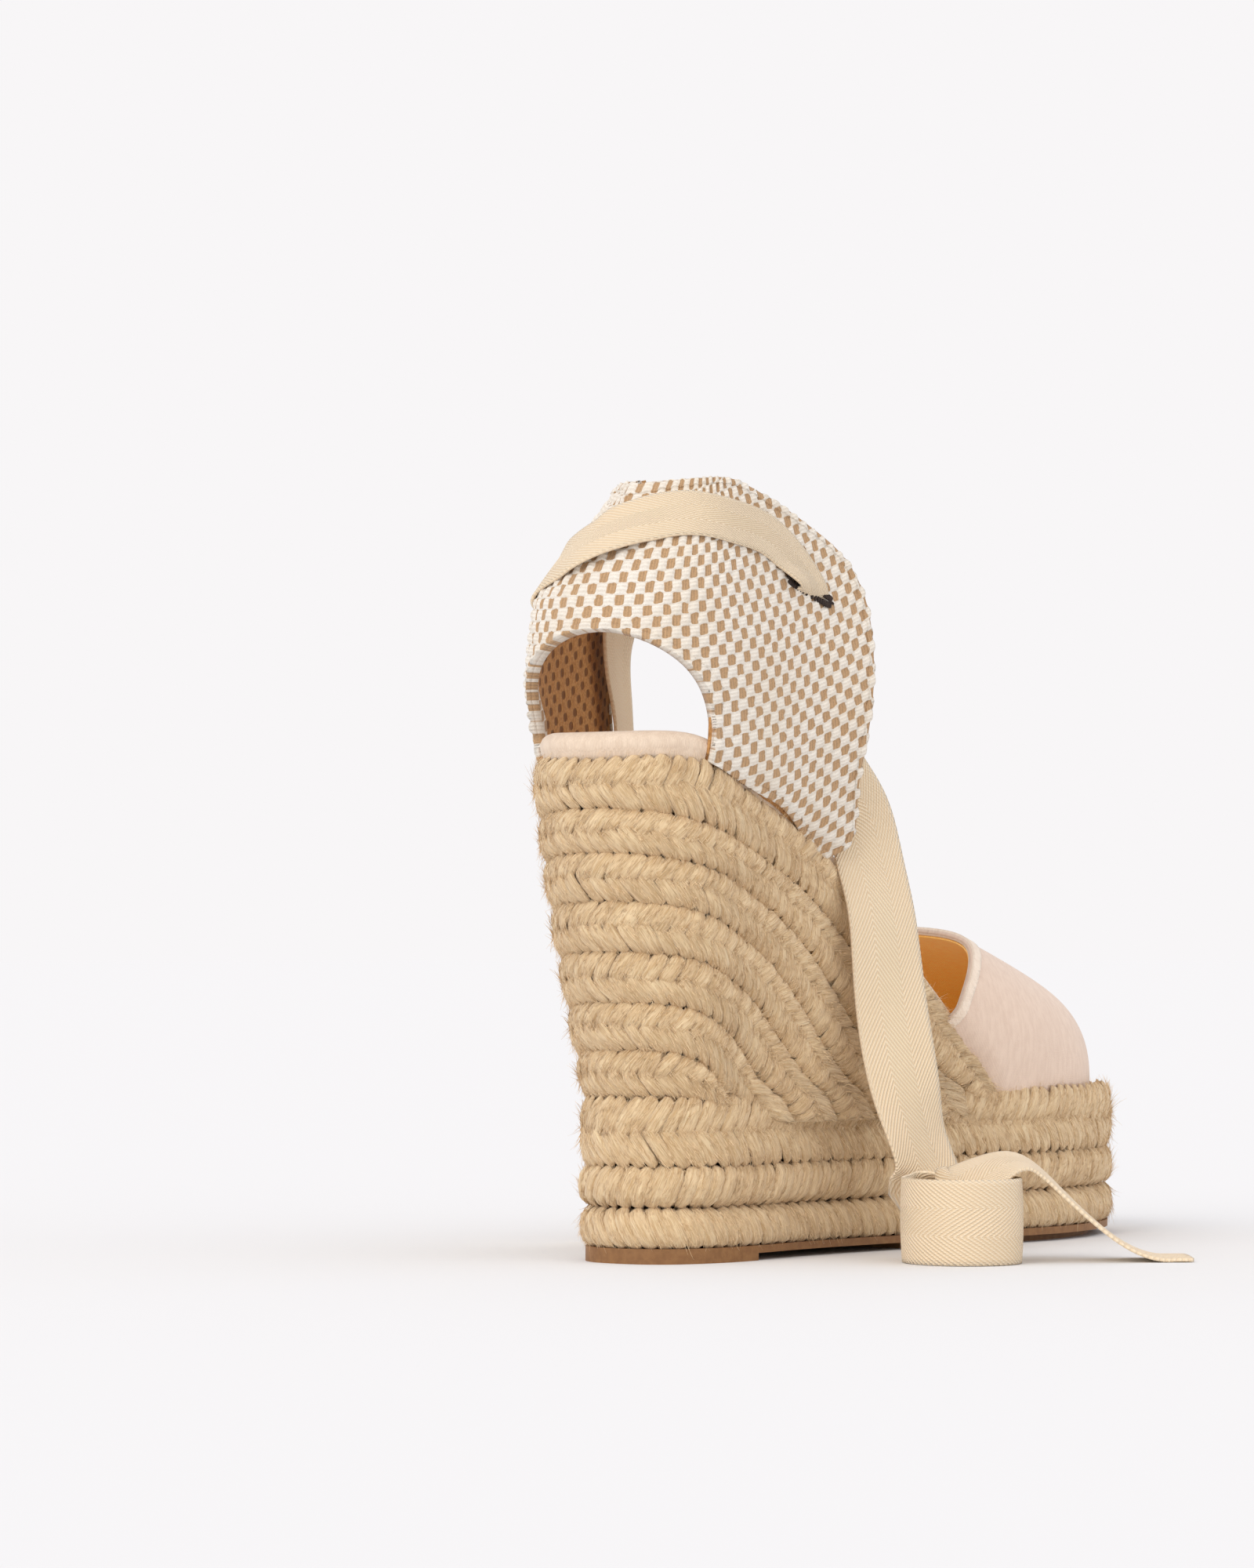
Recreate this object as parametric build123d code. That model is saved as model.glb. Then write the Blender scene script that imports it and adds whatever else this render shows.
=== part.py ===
from build123d import *
import math
import os

# A wedge espadrille sandal for the right foot, in millimetres.
# While it is built, x runs to the wearer's right, y runs forward from the back of the
# platform, and z runs up from the floor. The finished parts are moved together so that
# the middle of the bottom of their bounding box is the origin.

# Sole levels, from the floor up.
TREAD_TOP = 1.8
OUTSOLE_TOP = 3.6
ROPE_SPLIT = 13.2
ROPE_TOP = 23.0
BRAID_SPLIT = 31.0
PLATFORM_TOP = 39.0
RING_WIDTH = 7.5
HEEL_PAD_LENGTH = 30.0
TREAD_INSET = 6.0
TREAD_START = 92.0

# Wedge: the height of each row of braid at the back, and where it meets the platform.
WEDGE_TOP = 117.4
ROW_HEIGHTS = [WEDGE_TOP, 106.4, 96.4, 85.4, 73.6, 61.8, 50.6]
ROW_ENDS = [123.0, 109.0, 88.0, 69.5, 54.5, 38.5, 22.0]
LEVEL_END = 2.0
WEDGE_WALL = 8.0
# How a row falls from the level stretch round the heel to the platform: the share of the
# way forward, and the share of the height that is left there.
FALL = [(0.10, 0.945), (0.25, 0.86), (0.42, 0.745), (0.60, 0.55), (0.75, 0.36), (0.88, 0.19)]

# Footbed, from the top of the wedge up.
BOARD_THICKNESS = 1.8
COVER_THICKNESS = 3.4
HEEL_PAD_THICKNESS = 1.4

# Upper.
OUTER_THICKNESS = 1.3
LINING_THICKNESS = 1.1
HEM_WIDTH = 3.4
BINDING_WIDTH = 2.4
UPPER_FRONT = 72.0

# Ribbon.
RIBBON_WIDTH = 20.0
RIBBON_THICKNESS = 0.9

PLATFORM_OUTLINE = [
    (0, 0), (13, 5), (19.5, 18), (22, 45), (27, 80), (35.5, 115), (41, 145), (38.5, 172),
    (25, 198), (0, 211), (-24, 204), (-38, 183), (-42, 155), (-36, 120), (-25, 85),
    (-21, 45), (-19.5, 18), (-13, 5),
]
FOOTBED_OUTLINE = [
    (0, -12.6), (12, -9.4), (21, 0), (24.2, 14), (24.2, 35), (24.4, 58), (27.5, 88),
    (31.5, 116), (35, 140), (33, 165), (25.2, 182), (13.5, 194.5), (-6.5, 201), (-22.5, 195),
    (-31.2, 182), (-35.5, 165), (-36, 145), (-31.5, 116), (-25.5, 88), (-23.6, 58), (-24.2, 35), (-24.2, 14), (-21, 0),
    (-12, -9.4),
]


def flat(points, z=0.0, axis="z"):
    """Points of a drawing as points in space: on a level at z, or on the plane x = z."""
    if axis == "z":
        return [(a, b, z) for a, b in points]
    return [(z, a, b) for a, b in points]


def smooth_face(points, z=0.0):
    """A face inside a smooth closed curve through points, on the level z."""
    return make_face(Spline(*flat(points, z), periodic=True))


def drawn_in(points, distance):
    """A smooth closed outline, given anticlockwise, drawn in by a distance all round."""
    line = Spline(*flat(points), periodic=True)
    inner = []
    for n in range(2 * len(points)):
        along = n / (2 * len(points))
        inward = line.tangent_at(along).rotate(Axis.Z, 90)
        place = line.position_at(along) + inward * distance
        inner.append((place.X, place.Y))
    return inner


def column(points, low, high, inset=0.0):
    """A straight column with a smooth outline, from one level to another."""
    face = smooth_face(drawn_in(points, inset), low)
    return extrude(face, amount=high - low, dir=(0, 0, 1))


def side_block(points, smooth=True, half=90.0):
    """A block as wide as the shoe whose side view has this outline of (y, z) points."""
    points = flat(points, -half, "x")
    if smooth:
        line = Spline(*points, periodic=True)
    else:
        line = Polyline(*points, close=True)
    return extrude(make_face(line), amount=2 * half, dir=(1, 0, 0))


# ---------------------------------------------------------------- sole and platform


def outsole():
    """The thin rubber sole, thicker under the heel and under the ball of the foot."""
    sheet = column(PLATFORM_OUTLINE, TREAD_TOP, OUTSOLE_TOP, inset=0.8)
    heel = column(PLATFORM_OUTLINE, 0, TREAD_TOP, inset=0.8)
    heel &= Pos(0, HEEL_PAD_LENGTH / 2 - 20, 0) * Box(80, HEEL_PAD_LENGTH + 40, 20)
    ball = column(PLATFORM_OUTLINE, 0, TREAD_TOP, inset=TREAD_INSET)
    ball &= Pos(0, TREAD_START + 60, 0) * Box(120, 120, 20)
    return sheet + heel + ball


def ring(low, high, rounding):
    """One turn of rope or braid round the edge of the platform."""
    outer = column(PLATFORM_OUTLINE, low, high)
    long_edges = [e for e in outer.edges() if e.length > 100]
    outer = fillet(long_edges, rounding)
    return outer - column(PLATFORM_OUTLINE, low - 1, high + 1, inset=RING_WIDTH)


def platform_core():
    return column(PLATFORM_OUTLINE, OUTSOLE_TOP, PLATFORM_TOP, inset=RING_WIDTH)


# ---------------------------------------------------------------- wedge


def row_curve(height, end):
    """Side view of a row's upper edge: level round the heel, then down to the platform."""
    points = [(-40, height), (-18, height), (LEVEL_END, height)]
    for along, left in FALL:
        y = LEVEL_END + along * (end - LEVEL_END)
        points.append((y, PLATFORM_TOP + left * (height - PLATFORM_TOP)))
    return points + [(end, PLATFORM_TOP), (end + 6, PLATFORM_TOP - 8)]


def below(points):
    """A block under a side view curve that ends just below the top of the platform."""
    line = Spline(*flat(points, -90.0, "x"))
    corners = [points[-1], (points[-1][0], 20), (-40, 20), points[0]]
    rest = Polyline(*flat(corners, -90.0, "x"))
    return extrude(make_face(line + rest), amount=180, dir=(1, 0, 0))


def wedge_section(z, inset):
    """Outline of the wedge at one level, open to a straight line well in front."""
    up = min((z - PLATFORM_TOP) / (WEDGE_TOP - PLATFORM_TOP), 1)
    radius = 19 + 7.2 * (1 - (1 - up) ** 1.6) - inset
    centre = 20 - 9.2 * up
    half = []
    for angle in (90, 60, 30, 0):
        turn = math.radians(angle)
        half.append((radius * math.sin(turn), centre - radius * math.cos(turn)))
    right = [(36.3 - inset, 124), (31.2 - inset, 92), (26.6 - inset, 56)]
    left = [(-x - 0.5, y) for x, y in right[::-1]]
    back = half + [(-x, y) for x, y in half[-2::-1]]
    points = [(38 - inset, 140)] + right + back + left + [(-38.5 + inset, 140)]
    curve = Spline(*flat(points, z))
    return make_face(curve + Line((*points[-1], z), (*points[0], z)))


def wedge_body(inset):
    levels = (PLATFORM_TOP, 58.0, 78.0, 98.0, WEDGE_TOP + 1)
    return loft([wedge_section(z, inset) for z in levels])


def wedge_rows():
    """The braids of the wedge, stacked from the top down, and the core that they wrap."""
    shell = wedge_body(0.0) - wedge_body(WEDGE_WALL)
    curves = [row_curve(h, e) for h, e in zip(ROW_HEIGHTS, ROW_ENDS)]
    blocks = [below(c) for c in curves]
    rows = []
    for n, block in enumerate(blocks):
        row = shell & block
        if n + 1 < len(blocks):
            row -= blocks[n + 1]
        rows.append(row)
    core = wedge_body(WEDGE_WALL) & blocks[0]
    return rows, core


# ---------------------------------------------------------------- footbed


def footbed_line(rise):
    """Side view of the top of the wedge and platform, raised, from back to toe."""
    points = row_curve(ROW_HEIGHTS[0] + rise, ROW_ENDS[0] + rise * 0.5)[:-2]
    points += [(ROW_ENDS[0] + rise * 0.4, PLATFORM_TOP + rise + 1.2), (140, PLATFORM_TOP + rise)]
    return points + [(180, PLATFORM_TOP + rise), (240, PLATFORM_TOP + rise)]


def layer(bottom, top):
    """A block between two raised footbed lines."""
    low, high = footbed_line(bottom), footbed_line(top)
    line = Spline(*flat(low, -90.0, "x")) + Spline(*flat(high, -90.0, "x"))
    line += Line(*flat([low[0], high[0]], -90.0, "x"))
    line += Line(*flat([low[-1], high[-1]], -90.0, "x"))
    return extrude(make_face(line), amount=180, dir=(1, 0, 0))


def footbed():
    board_top = 0.25 + BOARD_THICKNESS
    cover_top = board_top + COVER_THICKNESS
    whole = column(FOOTBED_OUTLINE, PLATFORM_TOP + 0.1, 140)
    wedge = below(row_curve(WEDGE_TOP + 0.1, ROW_ENDS[0] + 0.1))
    board = column(FOOTBED_OUTLINE, PLATFORM_TOP + 0.1, 140, inset=0.6)
    board = (board & layer(0.25, board_top)) - wedge
    cover = whole & layer(board_top, cover_top)
    seat = column(FOOTBED_OUTLINE, 20, 140, inset=3.0)
    seat &= layer(cover_top, cover_top + HEEL_PAD_THICKNESS)
    seat &= Pos(0, -20, 100) * Box(90, 136, 100)
    return board, cover, seat


# ---------------------------------------------------------------- heel counter

# Level, back end, and half widths at y = 15, 40 and 57 of the outside of the counter.
COUNTER_LEVELS = [
    (90, -15.6, 27.0, 27.6, 28.6),
    (106, -15.8, 27.2, 28.2, 31.0),
    (122, -16.2, 28.0, 31.2, 36.2),
    (136, -17.5, 28.4, 32.4, 38.2),
    (150, -15.6, 28.0, 32.2, 37.6),
    (162, -11.0, 26.6, 31.0, 36.0),
    (173, -3.0, 24.8, 29.4, 34.2),
    (188, 9.0, 21.5, 27.0, 32.0),
]
COUNTER_SIDE = [
    (-24, 112), (-24, 150), (-14, 168), (2, 177), (12, 182.2), (21, 184), (30, 180.6),
    (40, 176.4), (49, 171.5), (55.5, 163.5), (57.4, 148), (57, 130), (58.4, 113),
    (61, 98.5), (59.5, 96), (40, 103.5), (14, 113.4), (2, 117.8), (-10, 118),
]
OPENING_ARCH = [
    (-24.5, 112), (-25.2, 126), (-22, 137), (-13, 144.5), (0, 146.8), (13, 144.5),
    (22, 137), (25.2, 126), (24.5, 112),
]
OPENING_FRONT = 3.0


def counter_section(level, inset):
    z, back, near, middle, front = level
    near, middle, front = near - inset, middle - inset, front - inset
    back += inset
    right = [(front + 3, UPPER_FRONT), (front, 57), (middle, 40), (near, 15)]
    corner = [(near * 0.71, 15 - (15 - back) * 0.71)]
    points = right + corner + [(0, back)]
    points += [(-x, y) for x, y in points[-2::-1]]
    curve = Spline(*flat(points, z))
    return make_face(curve + Line((*points[-1], z), (*points[0], z)))


def counter_body(inset):
    return loft([counter_section(level, inset) for level in COUNTER_LEVELS])


def arch_block(widen):
    """The opening at the back of the counter, as a block along y, with wider hems."""
    points = []
    for x, z in OPENING_ARCH:
        reach = math.hypot(x, z - 118)
        points.append((x * (1 + widen / reach), 118 + (z - 118) * (1 + widen / reach)))
    points = [(x, -40, z) for x, z in points]
    sill = [points[-1], (points[-1][0], -40, 90), (points[0][0], -40, 90), points[0]]
    face = make_face(Spline(*points) + Polyline(*sill))
    return extrude(face, amount=40 + OPENING_FRONT + widen, dir=(0, 1, 0))


def side_blocks():
    """Side view blocks of the counter: the whole, and the part inside its top hem."""
    whole = side_block(COUNTER_SIDE) - below(row_curve(WEDGE_TOP + 0.25, ROW_ENDS[0] + 0.3))
    # The hem runs along the top and the front only, so the inner block is the whole
    # block moved down and back.
    inner = whole.moved(Location((0, -HEM_WIDTH, -HEM_WIDTH * 0.8)))
    lower = side_block([(-30, 80), (-30, 125), (50, 125), (50, 80)], smooth=False)
    return whole, inner + (lower & whole)


def slit(side, grow, depth):
    """A buttonhole's long round outline as a block across the side of the counter."""
    shape = SlotOverall(15.0 + 2 * grow, 1.8 + 2 * grow)
    block = extrude(shape, amount=depth, both=True)
    turned = Plane(origin=(29.4 * side, 36.5, 159.6), x_dir=(0, 0.933, -0.36), z_dir=(side, 0, 0))
    return turned * block


def counter():
    whole, inside = side_blocks()
    opening, wide_opening = arch_block(0), arch_block(HEM_WIDTH)
    outer_skin = counter_body(0) - counter_body(OUTER_THICKNESS)
    inner_skin = counter_body(OUTER_THICKNESS)
    inner_skin -= counter_body(OUTER_THICKNESS + LINING_THICKNESS)
    slits = slit(1, 0, 9) + slit(-1, 0, 9)
    shell = (outer_skin & whole) - opening - slits
    opening_hem = shell & wide_opening
    shell -= wide_opening
    main = shell & inside
    top_hem = shell - inside
    lining = (inner_skin & whole) - opening - slits
    return main, lining, top_hem, opening_hem


def buttonhole(side):
    """The stitched edge of a buttonhole, standing just proud of the canvas."""
    edge = slit(side, 1.2, 9) - slit(side, 0, 9)
    band = counter_body(-0.7) - counter_body(0)
    return edge & band


# ---------------------------------------------------------------- vamp

# y, middle, half width at the sole, greatest half width, and height above the platform.
VAMP_STATIONS = [
    (96, 0.0, 30.5, 34.0, 50),
    (108, 0.0, 33.0, 37.2, 46.5),
    (120, -0.4, 34.8, 39.0, 42.5),
    (134, -0.8, 37.0, 40.0, 38.0),
    (150, -1.0, 38.4, 40.0, 33.0),
    (166, -1.2, 37.4, 37.8, 27.5),
    (182, -3.0, 31.5, 31.0, 21.0),
    (195, -5.0, 22.0, 20.5, 14.0),
    (205, -6.5, 9.5, 8.5, 7.0),
]
VAMP_SIDE = [
    (103.2, 59.2), (108.5, 65.5), (115.5, 71.5), (124, 76.2), (132, 80.5), (140, 96),
]


def vamp_section(station, inset):
    y, middle, sole, wide, height = station
    sole, wide, height = sole - inset, wide - inset, height - inset
    half = [(sole, -6.0), (wide, height * 0.36), (wide * 0.80, height * 0.78)]
    points = half + [(0, height)] + [(-x, z) for x, z in half[::-1]]
    points = [(x + middle, y, PLATFORM_TOP + z) for x, z in points]
    return make_face(Spline(*points) + Line(points[-1], points[0]))


def vamp_body(inset):
    stations = list(VAMP_STATIONS)
    last = stations[-1]
    stations[-1] = (last[0] - inset * 0.8, *last[1:])
    return loft([vamp_section(s, min(inset, s[4] * 0.4)) for s in stations])


def vamp_block(shrink):
    """Side view block of the vamp in front of its top line, above the wedge and platform."""
    top = [(y + shrink * 0.75, z - shrink * 0.66) for y, z in VAMP_SIDE]
    top = Spline(*flat(top, -90.0, "x"))
    start, end = top @ 0, top @ 1
    corners = [(end.Y, end.Z), (240, end.Z), (240, PLATFORM_TOP + 0.3), (124.2, PLATFORM_TOP + 0.3)]
    corners += [(start.Y, start.Z)]
    return extrude(make_face(top + Polyline(*flat(corners, -90.0, "x"))), amount=180, dir=(1, 0, 0))


def vamp():
    skin = vamp_body(0) - vamp_body(OUTER_THICKNESS)
    inner_skin = vamp_body(OUTER_THICKNESS) - vamp_body(OUTER_THICKNESS + LINING_THICKNESS)
    all_of_it, inside = vamp_block(0), vamp_block(BINDING_WIDTH)
    wedge = below(row_curve(ROW_HEIGHTS[0] + 0.2, ROW_ENDS[0] + 0.2))
    inside -= wedge
    binding = ((skin + inner_skin) & (all_of_it - wedge)) - inside
    return skin & inside, inner_skin & inside, binding


# ---------------------------------------------------------------- ribbon


def strip(stations, thickness=RIBBON_THICKNESS):
    """A ribbon through stations of (middle, direction across, half of the width there)."""
    sections = []
    for n, (middle, across, half) in enumerate(stations):
        before = Vector(stations[max(n - 1, 0)][0])
        after = Vector(stations[min(n + 1, len(stations) - 1)][0])
        across = Vector(across).normalized()
        normal = (after - before).cross(across).normalized() * (thickness / 2)
        edge = across * half
        middle = Vector(middle)
        corners = [middle + edge + normal, middle - edge + normal]
        corners += [middle - edge - normal, middle + edge - normal]
        sections.append(Wire.make_polygon(corners, close=True))
    return Solid.make_loft(sections, ruled=True)


def standing_strip(points, low, high, thickness=RIBBON_THICKNESS):
    """A ribbon that stands on its edge along a smooth line on the floor."""
    line = Spline(*flat(points))
    sides = [[], []]
    for n in range(25):
        along = line.tangent_at(n / 24)
        out = Vector(-along.Y, along.X, 0) * (thickness / 2)
        sides[0].append(line @ (n / 24) + out)
        sides[1].append(line @ (n / 24) - out)
    left, right = Spline(*sides[0]), Spline(*sides[1])
    ends = Line(left @ 0, right @ 0) + Line(left @ 1, right @ 1)
    face = make_face(left + right + ends)
    return extrude(face, amount=high - low, dir=(0, 0, 1)).moved(Location((0, 0, low)))


BAND_LOWER = [(0, -8.5, 168.6), (13, -4.5, 168.6), (22, 5, 168.8), (26.5, 15, 168.0), (29, 23, 165.6), (31, 29.8, 162.2)]
BAND_UPPER = [(0, 4.5, 178.8), (11, 6.0, 178.6), (19.5, 13, 177.6), (24.5, 23, 174.8), (28.5, 33, 170.0), (31.5, 43.2, 157.2)]


def ribbon_band():
    """The ribbon round the outside of the back of the counter, from slit to slit."""
    pairs = [(Vector(a), Vector(b)) for a, b in zip(BAND_LOWER, BAND_UPPER)]
    flip = [(Vector(-a.X, a.Y, a.Z), Vector(-b.X, b.Y, b.Z)) for a, b in pairs[:0:-1]]
    stations = []
    for lower, upper in flip + pairs:
        stations.append(((lower + upper) * 0.5, upper - lower, (upper - lower).length / 2))
    band = strip(stations, thickness=4.0)
    band = (band - counter_body(0.0)) & counter_body(-RIBBON_THICKNESS)
    return band - buttonhole(1) - buttonhole(-1)


# Middle, direction across and half width of the right tail, from its slit to the floor.
TAIL_DROP = [
    ((25.6, 36.5, 158), (0, 0.93, -0.36), 6.8),
    ((26.4, 41, 146), (0.20, 0.93, 0.2), 8.5),
    ((28.0, 48, 131), (0.34, 0.89, 0.3), 9.6),
    ((29.4, 56.5, 116), (0.36, 0.86, 0.33), 9.8),
    ((32.4, 71, 102.5), (0.52, 0.82, 0.23), 8.6),
    ((34.8, 70, 88), (0.50, 0.866, 0.0), 9.4),
    ((36.8, 67.5, 67), (0.45, 0.89, 0.0), 10.0),
    ((43.0, 65.2, 40), (0.42, 0.91, 0.0), 10.0),
    ((47.6, 63.6, 18), (0.42, 0.91, 0.0), 10.0),
]
LOOP = [
    (43.8, 55.6), (52, 60.5), (59.5, 68.5), (62.4, 79.5), (57.0, 88.6), (47.8, 88.4), (43.2, 81.0),
]
CREST = [
    ((43.6, 80.4, 10.2), (0.0, 0.0, 1.0), 10.0),
    ((45.0, 77.2, 10.6), (-0.10, 0.10, 0.99), 10.0),
    ((49.5, 75.6, 12.6), (-0.28, 0.25, 0.92), 9.6),
    ((56.0, 78.6, 17.4), (-0.42, 0.5, 0.75), 9.4),
    ((62.0, 83.6, 22.6), (-0.5, 0.75, 0.45), 9.6),
    ((69.0, 88.8, 21.4), (-0.5, 0.84, 0.2), 9.8),
    ((77.5, 94.2, 12.8), (-0.5, 0.86, 0.1), 10.0),
    ((87.0, 99.4, 4.4), (-0.5, 0.87, 0.0), 10.0),
    ((96.0, 104.0, 0.6), (-0.5, 0.87, 0.0), 10.0),
    ((104.0, 108.6, 0.6), (-0.5, 0.87, 0.0), 10.0),
]
LEFT_FLOOR = [
    ((-44.6, 66.0, 24), (-0.5, 0.86, 0.1), 10.0),
    ((-47.4, 70.5, 10), (-0.8, 0.6, 0.1), 10.0),
    ((-49.0, 78.0, 2.4), (-0.98, 0.2, 0.0), 10.0),
    ((-50.4, 90.0, 0.6), (-1.0, 0.1, 0.0), 10.0),
    ((-52.4, 112, 0.6), (-1.0, 0.08, 0.0), 10.0),
    ((-54.0, 126, 5.0), (-1.0, 0.06, 0.0), 10.0),
    ((-55.4, 136, 13.0), (-1.0, 0.05, 0.0), 10.0),
    ((-56.4, 144, 12.6), (-1.0, 0.05, 0.0), 10.0),
    ((-57.6, 153, 4.0), (-1.0, 0.06, 0.0), 10.0),
    ((-59.0, 165, 0.6), (-1.0, 0.10, 0.0), 10.0),
    ((-62.0, 184, 0.6), (-1.0, 0.16, 0.0), 10.0),
    ((-66.0, 204, 0.6), (-1.0, 0.24, 0.0), 10.0),
    ((-70.0, 216, 0.6), (-1.0, 0.28, 0.0), 10.0),
]


def right_tail():
    drop = strip(TAIL_DROP)
    curl = standing_strip(LOOP, 0.0, RIBBON_WIDTH)
    return drop + curl + strip(CREST)


def left_tail():
    mirrored = [((-x, y, z), (-a, b, c), half) for (x, y, z), (a, b, c), half in TAIL_DROP[:-1]]
    return strip(mirrored + LEFT_FLOOR)


# ---------------------------------------------------------------- assembly


def all_parts():
    parts = {
        "outsole": outsole(),
        "sole_rope_lower": ring(OUTSOLE_TOP, ROPE_SPLIT, 3.2),
        "sole_rope_upper": ring(ROPE_SPLIT, ROPE_TOP, 3.2),
        "platform_braid_lower": ring(ROPE_TOP, BRAID_SPLIT, 1.8),
        "platform_braid_upper": ring(BRAID_SPLIT, PLATFORM_TOP, 1.8),
        "platform_core": platform_core(),
    }
    rows, core = wedge_rows()
    for n, row in enumerate(rows):
        parts[f"wedge_braid_{n + 1}"] = row
    parts["wedge_core"] = core
    parts["insole_board"], parts["insole_cover"], parts["heel_foam_pad"] = footbed()
    parts["counter_outer"], parts["counter_lining"], top_hem, opening_hem = counter()
    parts["counter_top_hem"], parts["counter_opening_hem"] = top_hem, opening_hem
    parts["buttonhole_right"], parts["buttonhole_left"] = buttonhole(1), buttonhole(-1)
    parts["vamp_outer"], parts["vamp_lining"], parts["vamp_binding"] = vamp()
    parts["ribbon_band"] = ribbon_band()
    parts["ribbon_tail_right"], parts["ribbon_tail_left"] = right_tail(), left_tail()
    return parts


def main():
    os.makedirs("parts", exist_ok=True)
    parts = all_parts()
    box = Compound(children=[Compound(p.solids()) for p in parts.values()]).bounding_box()
    middle = box.center()
    shift = Location((-middle.X, -middle.Y, -box.min.Z))
    print("shift", [round(v, 3) for v in shift.position], "size", box.size)
    for name, shape in parts.items():
        solids = shape.solids()
        print(f"{name}: {len(solids)} solids, {sum(s.volume for s in solids):.0f} mm3")
        moved = [s.moved(shift) for s in solids]
        export_step(moved[0] if len(moved) == 1 else Compound(moved), f"parts/{name}.step")


main()
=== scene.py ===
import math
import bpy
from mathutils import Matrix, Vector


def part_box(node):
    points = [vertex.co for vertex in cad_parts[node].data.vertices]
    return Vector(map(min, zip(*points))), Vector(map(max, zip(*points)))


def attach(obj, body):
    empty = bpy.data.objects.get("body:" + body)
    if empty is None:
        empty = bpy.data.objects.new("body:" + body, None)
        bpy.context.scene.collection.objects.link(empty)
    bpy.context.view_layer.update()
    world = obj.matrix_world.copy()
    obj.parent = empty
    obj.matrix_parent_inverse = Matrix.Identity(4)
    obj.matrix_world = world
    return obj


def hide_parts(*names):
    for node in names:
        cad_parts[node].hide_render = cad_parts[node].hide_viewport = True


bl_info = {
    "name": "Wedge Sandal Maker",
    "version": (1, 0, 0),
    "blender": (4, 5, 0),
    "location": "View3D > Sidebar > Sandal",
    "description": "Builds a braided wedge sandal with a woven heel counter and a ribbon tie",
    "category": "Object",
}

import bmesh
import bpy
import numpy as np
from bpy.props import FloatProperty, FloatVectorProperty, IntProperty, PointerProperty
from mathutils import Vector

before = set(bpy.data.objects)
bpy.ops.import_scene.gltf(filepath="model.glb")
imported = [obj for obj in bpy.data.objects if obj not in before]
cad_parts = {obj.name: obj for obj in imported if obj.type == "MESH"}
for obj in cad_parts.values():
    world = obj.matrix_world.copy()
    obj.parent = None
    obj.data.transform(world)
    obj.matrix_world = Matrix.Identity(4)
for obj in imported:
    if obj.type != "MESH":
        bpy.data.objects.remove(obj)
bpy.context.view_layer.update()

# ------------------------------------------------------------------ the sandal's own drawing
# Millimetres from the back of the platform: x to the wearer's right, y forward, z up.

MM = 0.001
SOLE_INSET = 0.8
pad_low, pad_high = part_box("heel_foam_pad")
ORIGIN = np.array([
    (pad_low[0] + pad_high[0]) / 2,
    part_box("outsole")[0][1] - SOLE_INSET * MM,
    0.0,
])

OUTSOLE_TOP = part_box("outsole")[1][2] / MM
ROPE_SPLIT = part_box("sole_rope_lower")[1][2] / MM
ROPE_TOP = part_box("sole_rope_upper")[1][2] / MM
PLATFORM_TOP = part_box("platform_braid_upper")[1][2] / MM
WEDGE_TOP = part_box("wedge_braid_1")[1][2] / MM

PLATFORM_OUTLINE = [
    (0, 0), (13, 5), (19.5, 18), (22, 45), (27, 80), (35.5, 115), (41, 145), (38.5, 172),
    (25, 198), (0, 211), (-24, 204), (-38, 183), (-42, 155), (-36, 120), (-25, 85),
    (-21, 45), (-19.5, 18), (-13, 5),
]
FOOTBED_OUTLINE = [
    (0, -12.6), (12, -9.4), (21, 0), (24.2, 14), (24.2, 35), (24.4, 58), (27.5, 88),
    (31.5, 116), (35, 140), (33, 165), (25.2, 182), (13.5, 194.5), (-6.5, 201), (-22.5, 195),
    (-31.2, 182), (-35.5, 165), (-36, 145), (-31.5, 116), (-25.5, 88), (-23.6, 58),
    (-24.2, 35), (-24.2, 14), (-21, 0), (-12, -9.4),
]
# The footbed's rim from its foot: each step inwards, and the rise above the wedge there.
RIM_FOOT = -1.4
RIM_PROFILE = [
    (0.0, 1.2), (-0.5, 2.4), (-0.2, 3.8), (0.5, 5.0), (0.8, 5.8), (1.0, 6.2), (1.1, 6.2),
    (0.8, 5.8), (0.9, 5.5), (2.0, 5.4), (3.0, 5.4), (5.0, 5.4),
]
WAIST_DROP, WAIST_SWELL = 0.62, 1.6
HEEL_CENTRE, TOE_CENTRE = 12, 160
# The upper edge of each wedge row at the heel, and where each row meets the platform.
ROW_HEIGHTS = [WEDGE_TOP, 107.4, 97.2, 86.0, 74.2, 62.2, 50.8, PLATFORM_TOP]
ROW_ENDS = [123.0, 109.0, 88.0, 69.5, 54.5, 38.5, 22.0, 22.0]
LEVEL_END = 2.0
# How a row falls: share of its way forward, and share of its height that is left.
FALL = [(0.10, 0.945), (0.25, 0.86), (0.42, 0.745), (0.60, 0.55), (0.75, 0.36), (0.88, 0.19)]
HEEL_FALL = [(-9, 0.985), (0, 0.955)]
ROW_FALL = [
    (0.12, 0.895), (0.234, 0.832), (0.36, 0.75), (0.486, 0.64), (0.60, 0.50), (0.73, 0.31),
    (0.865, 0.125), (0.94, 0.05),
]

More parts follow.
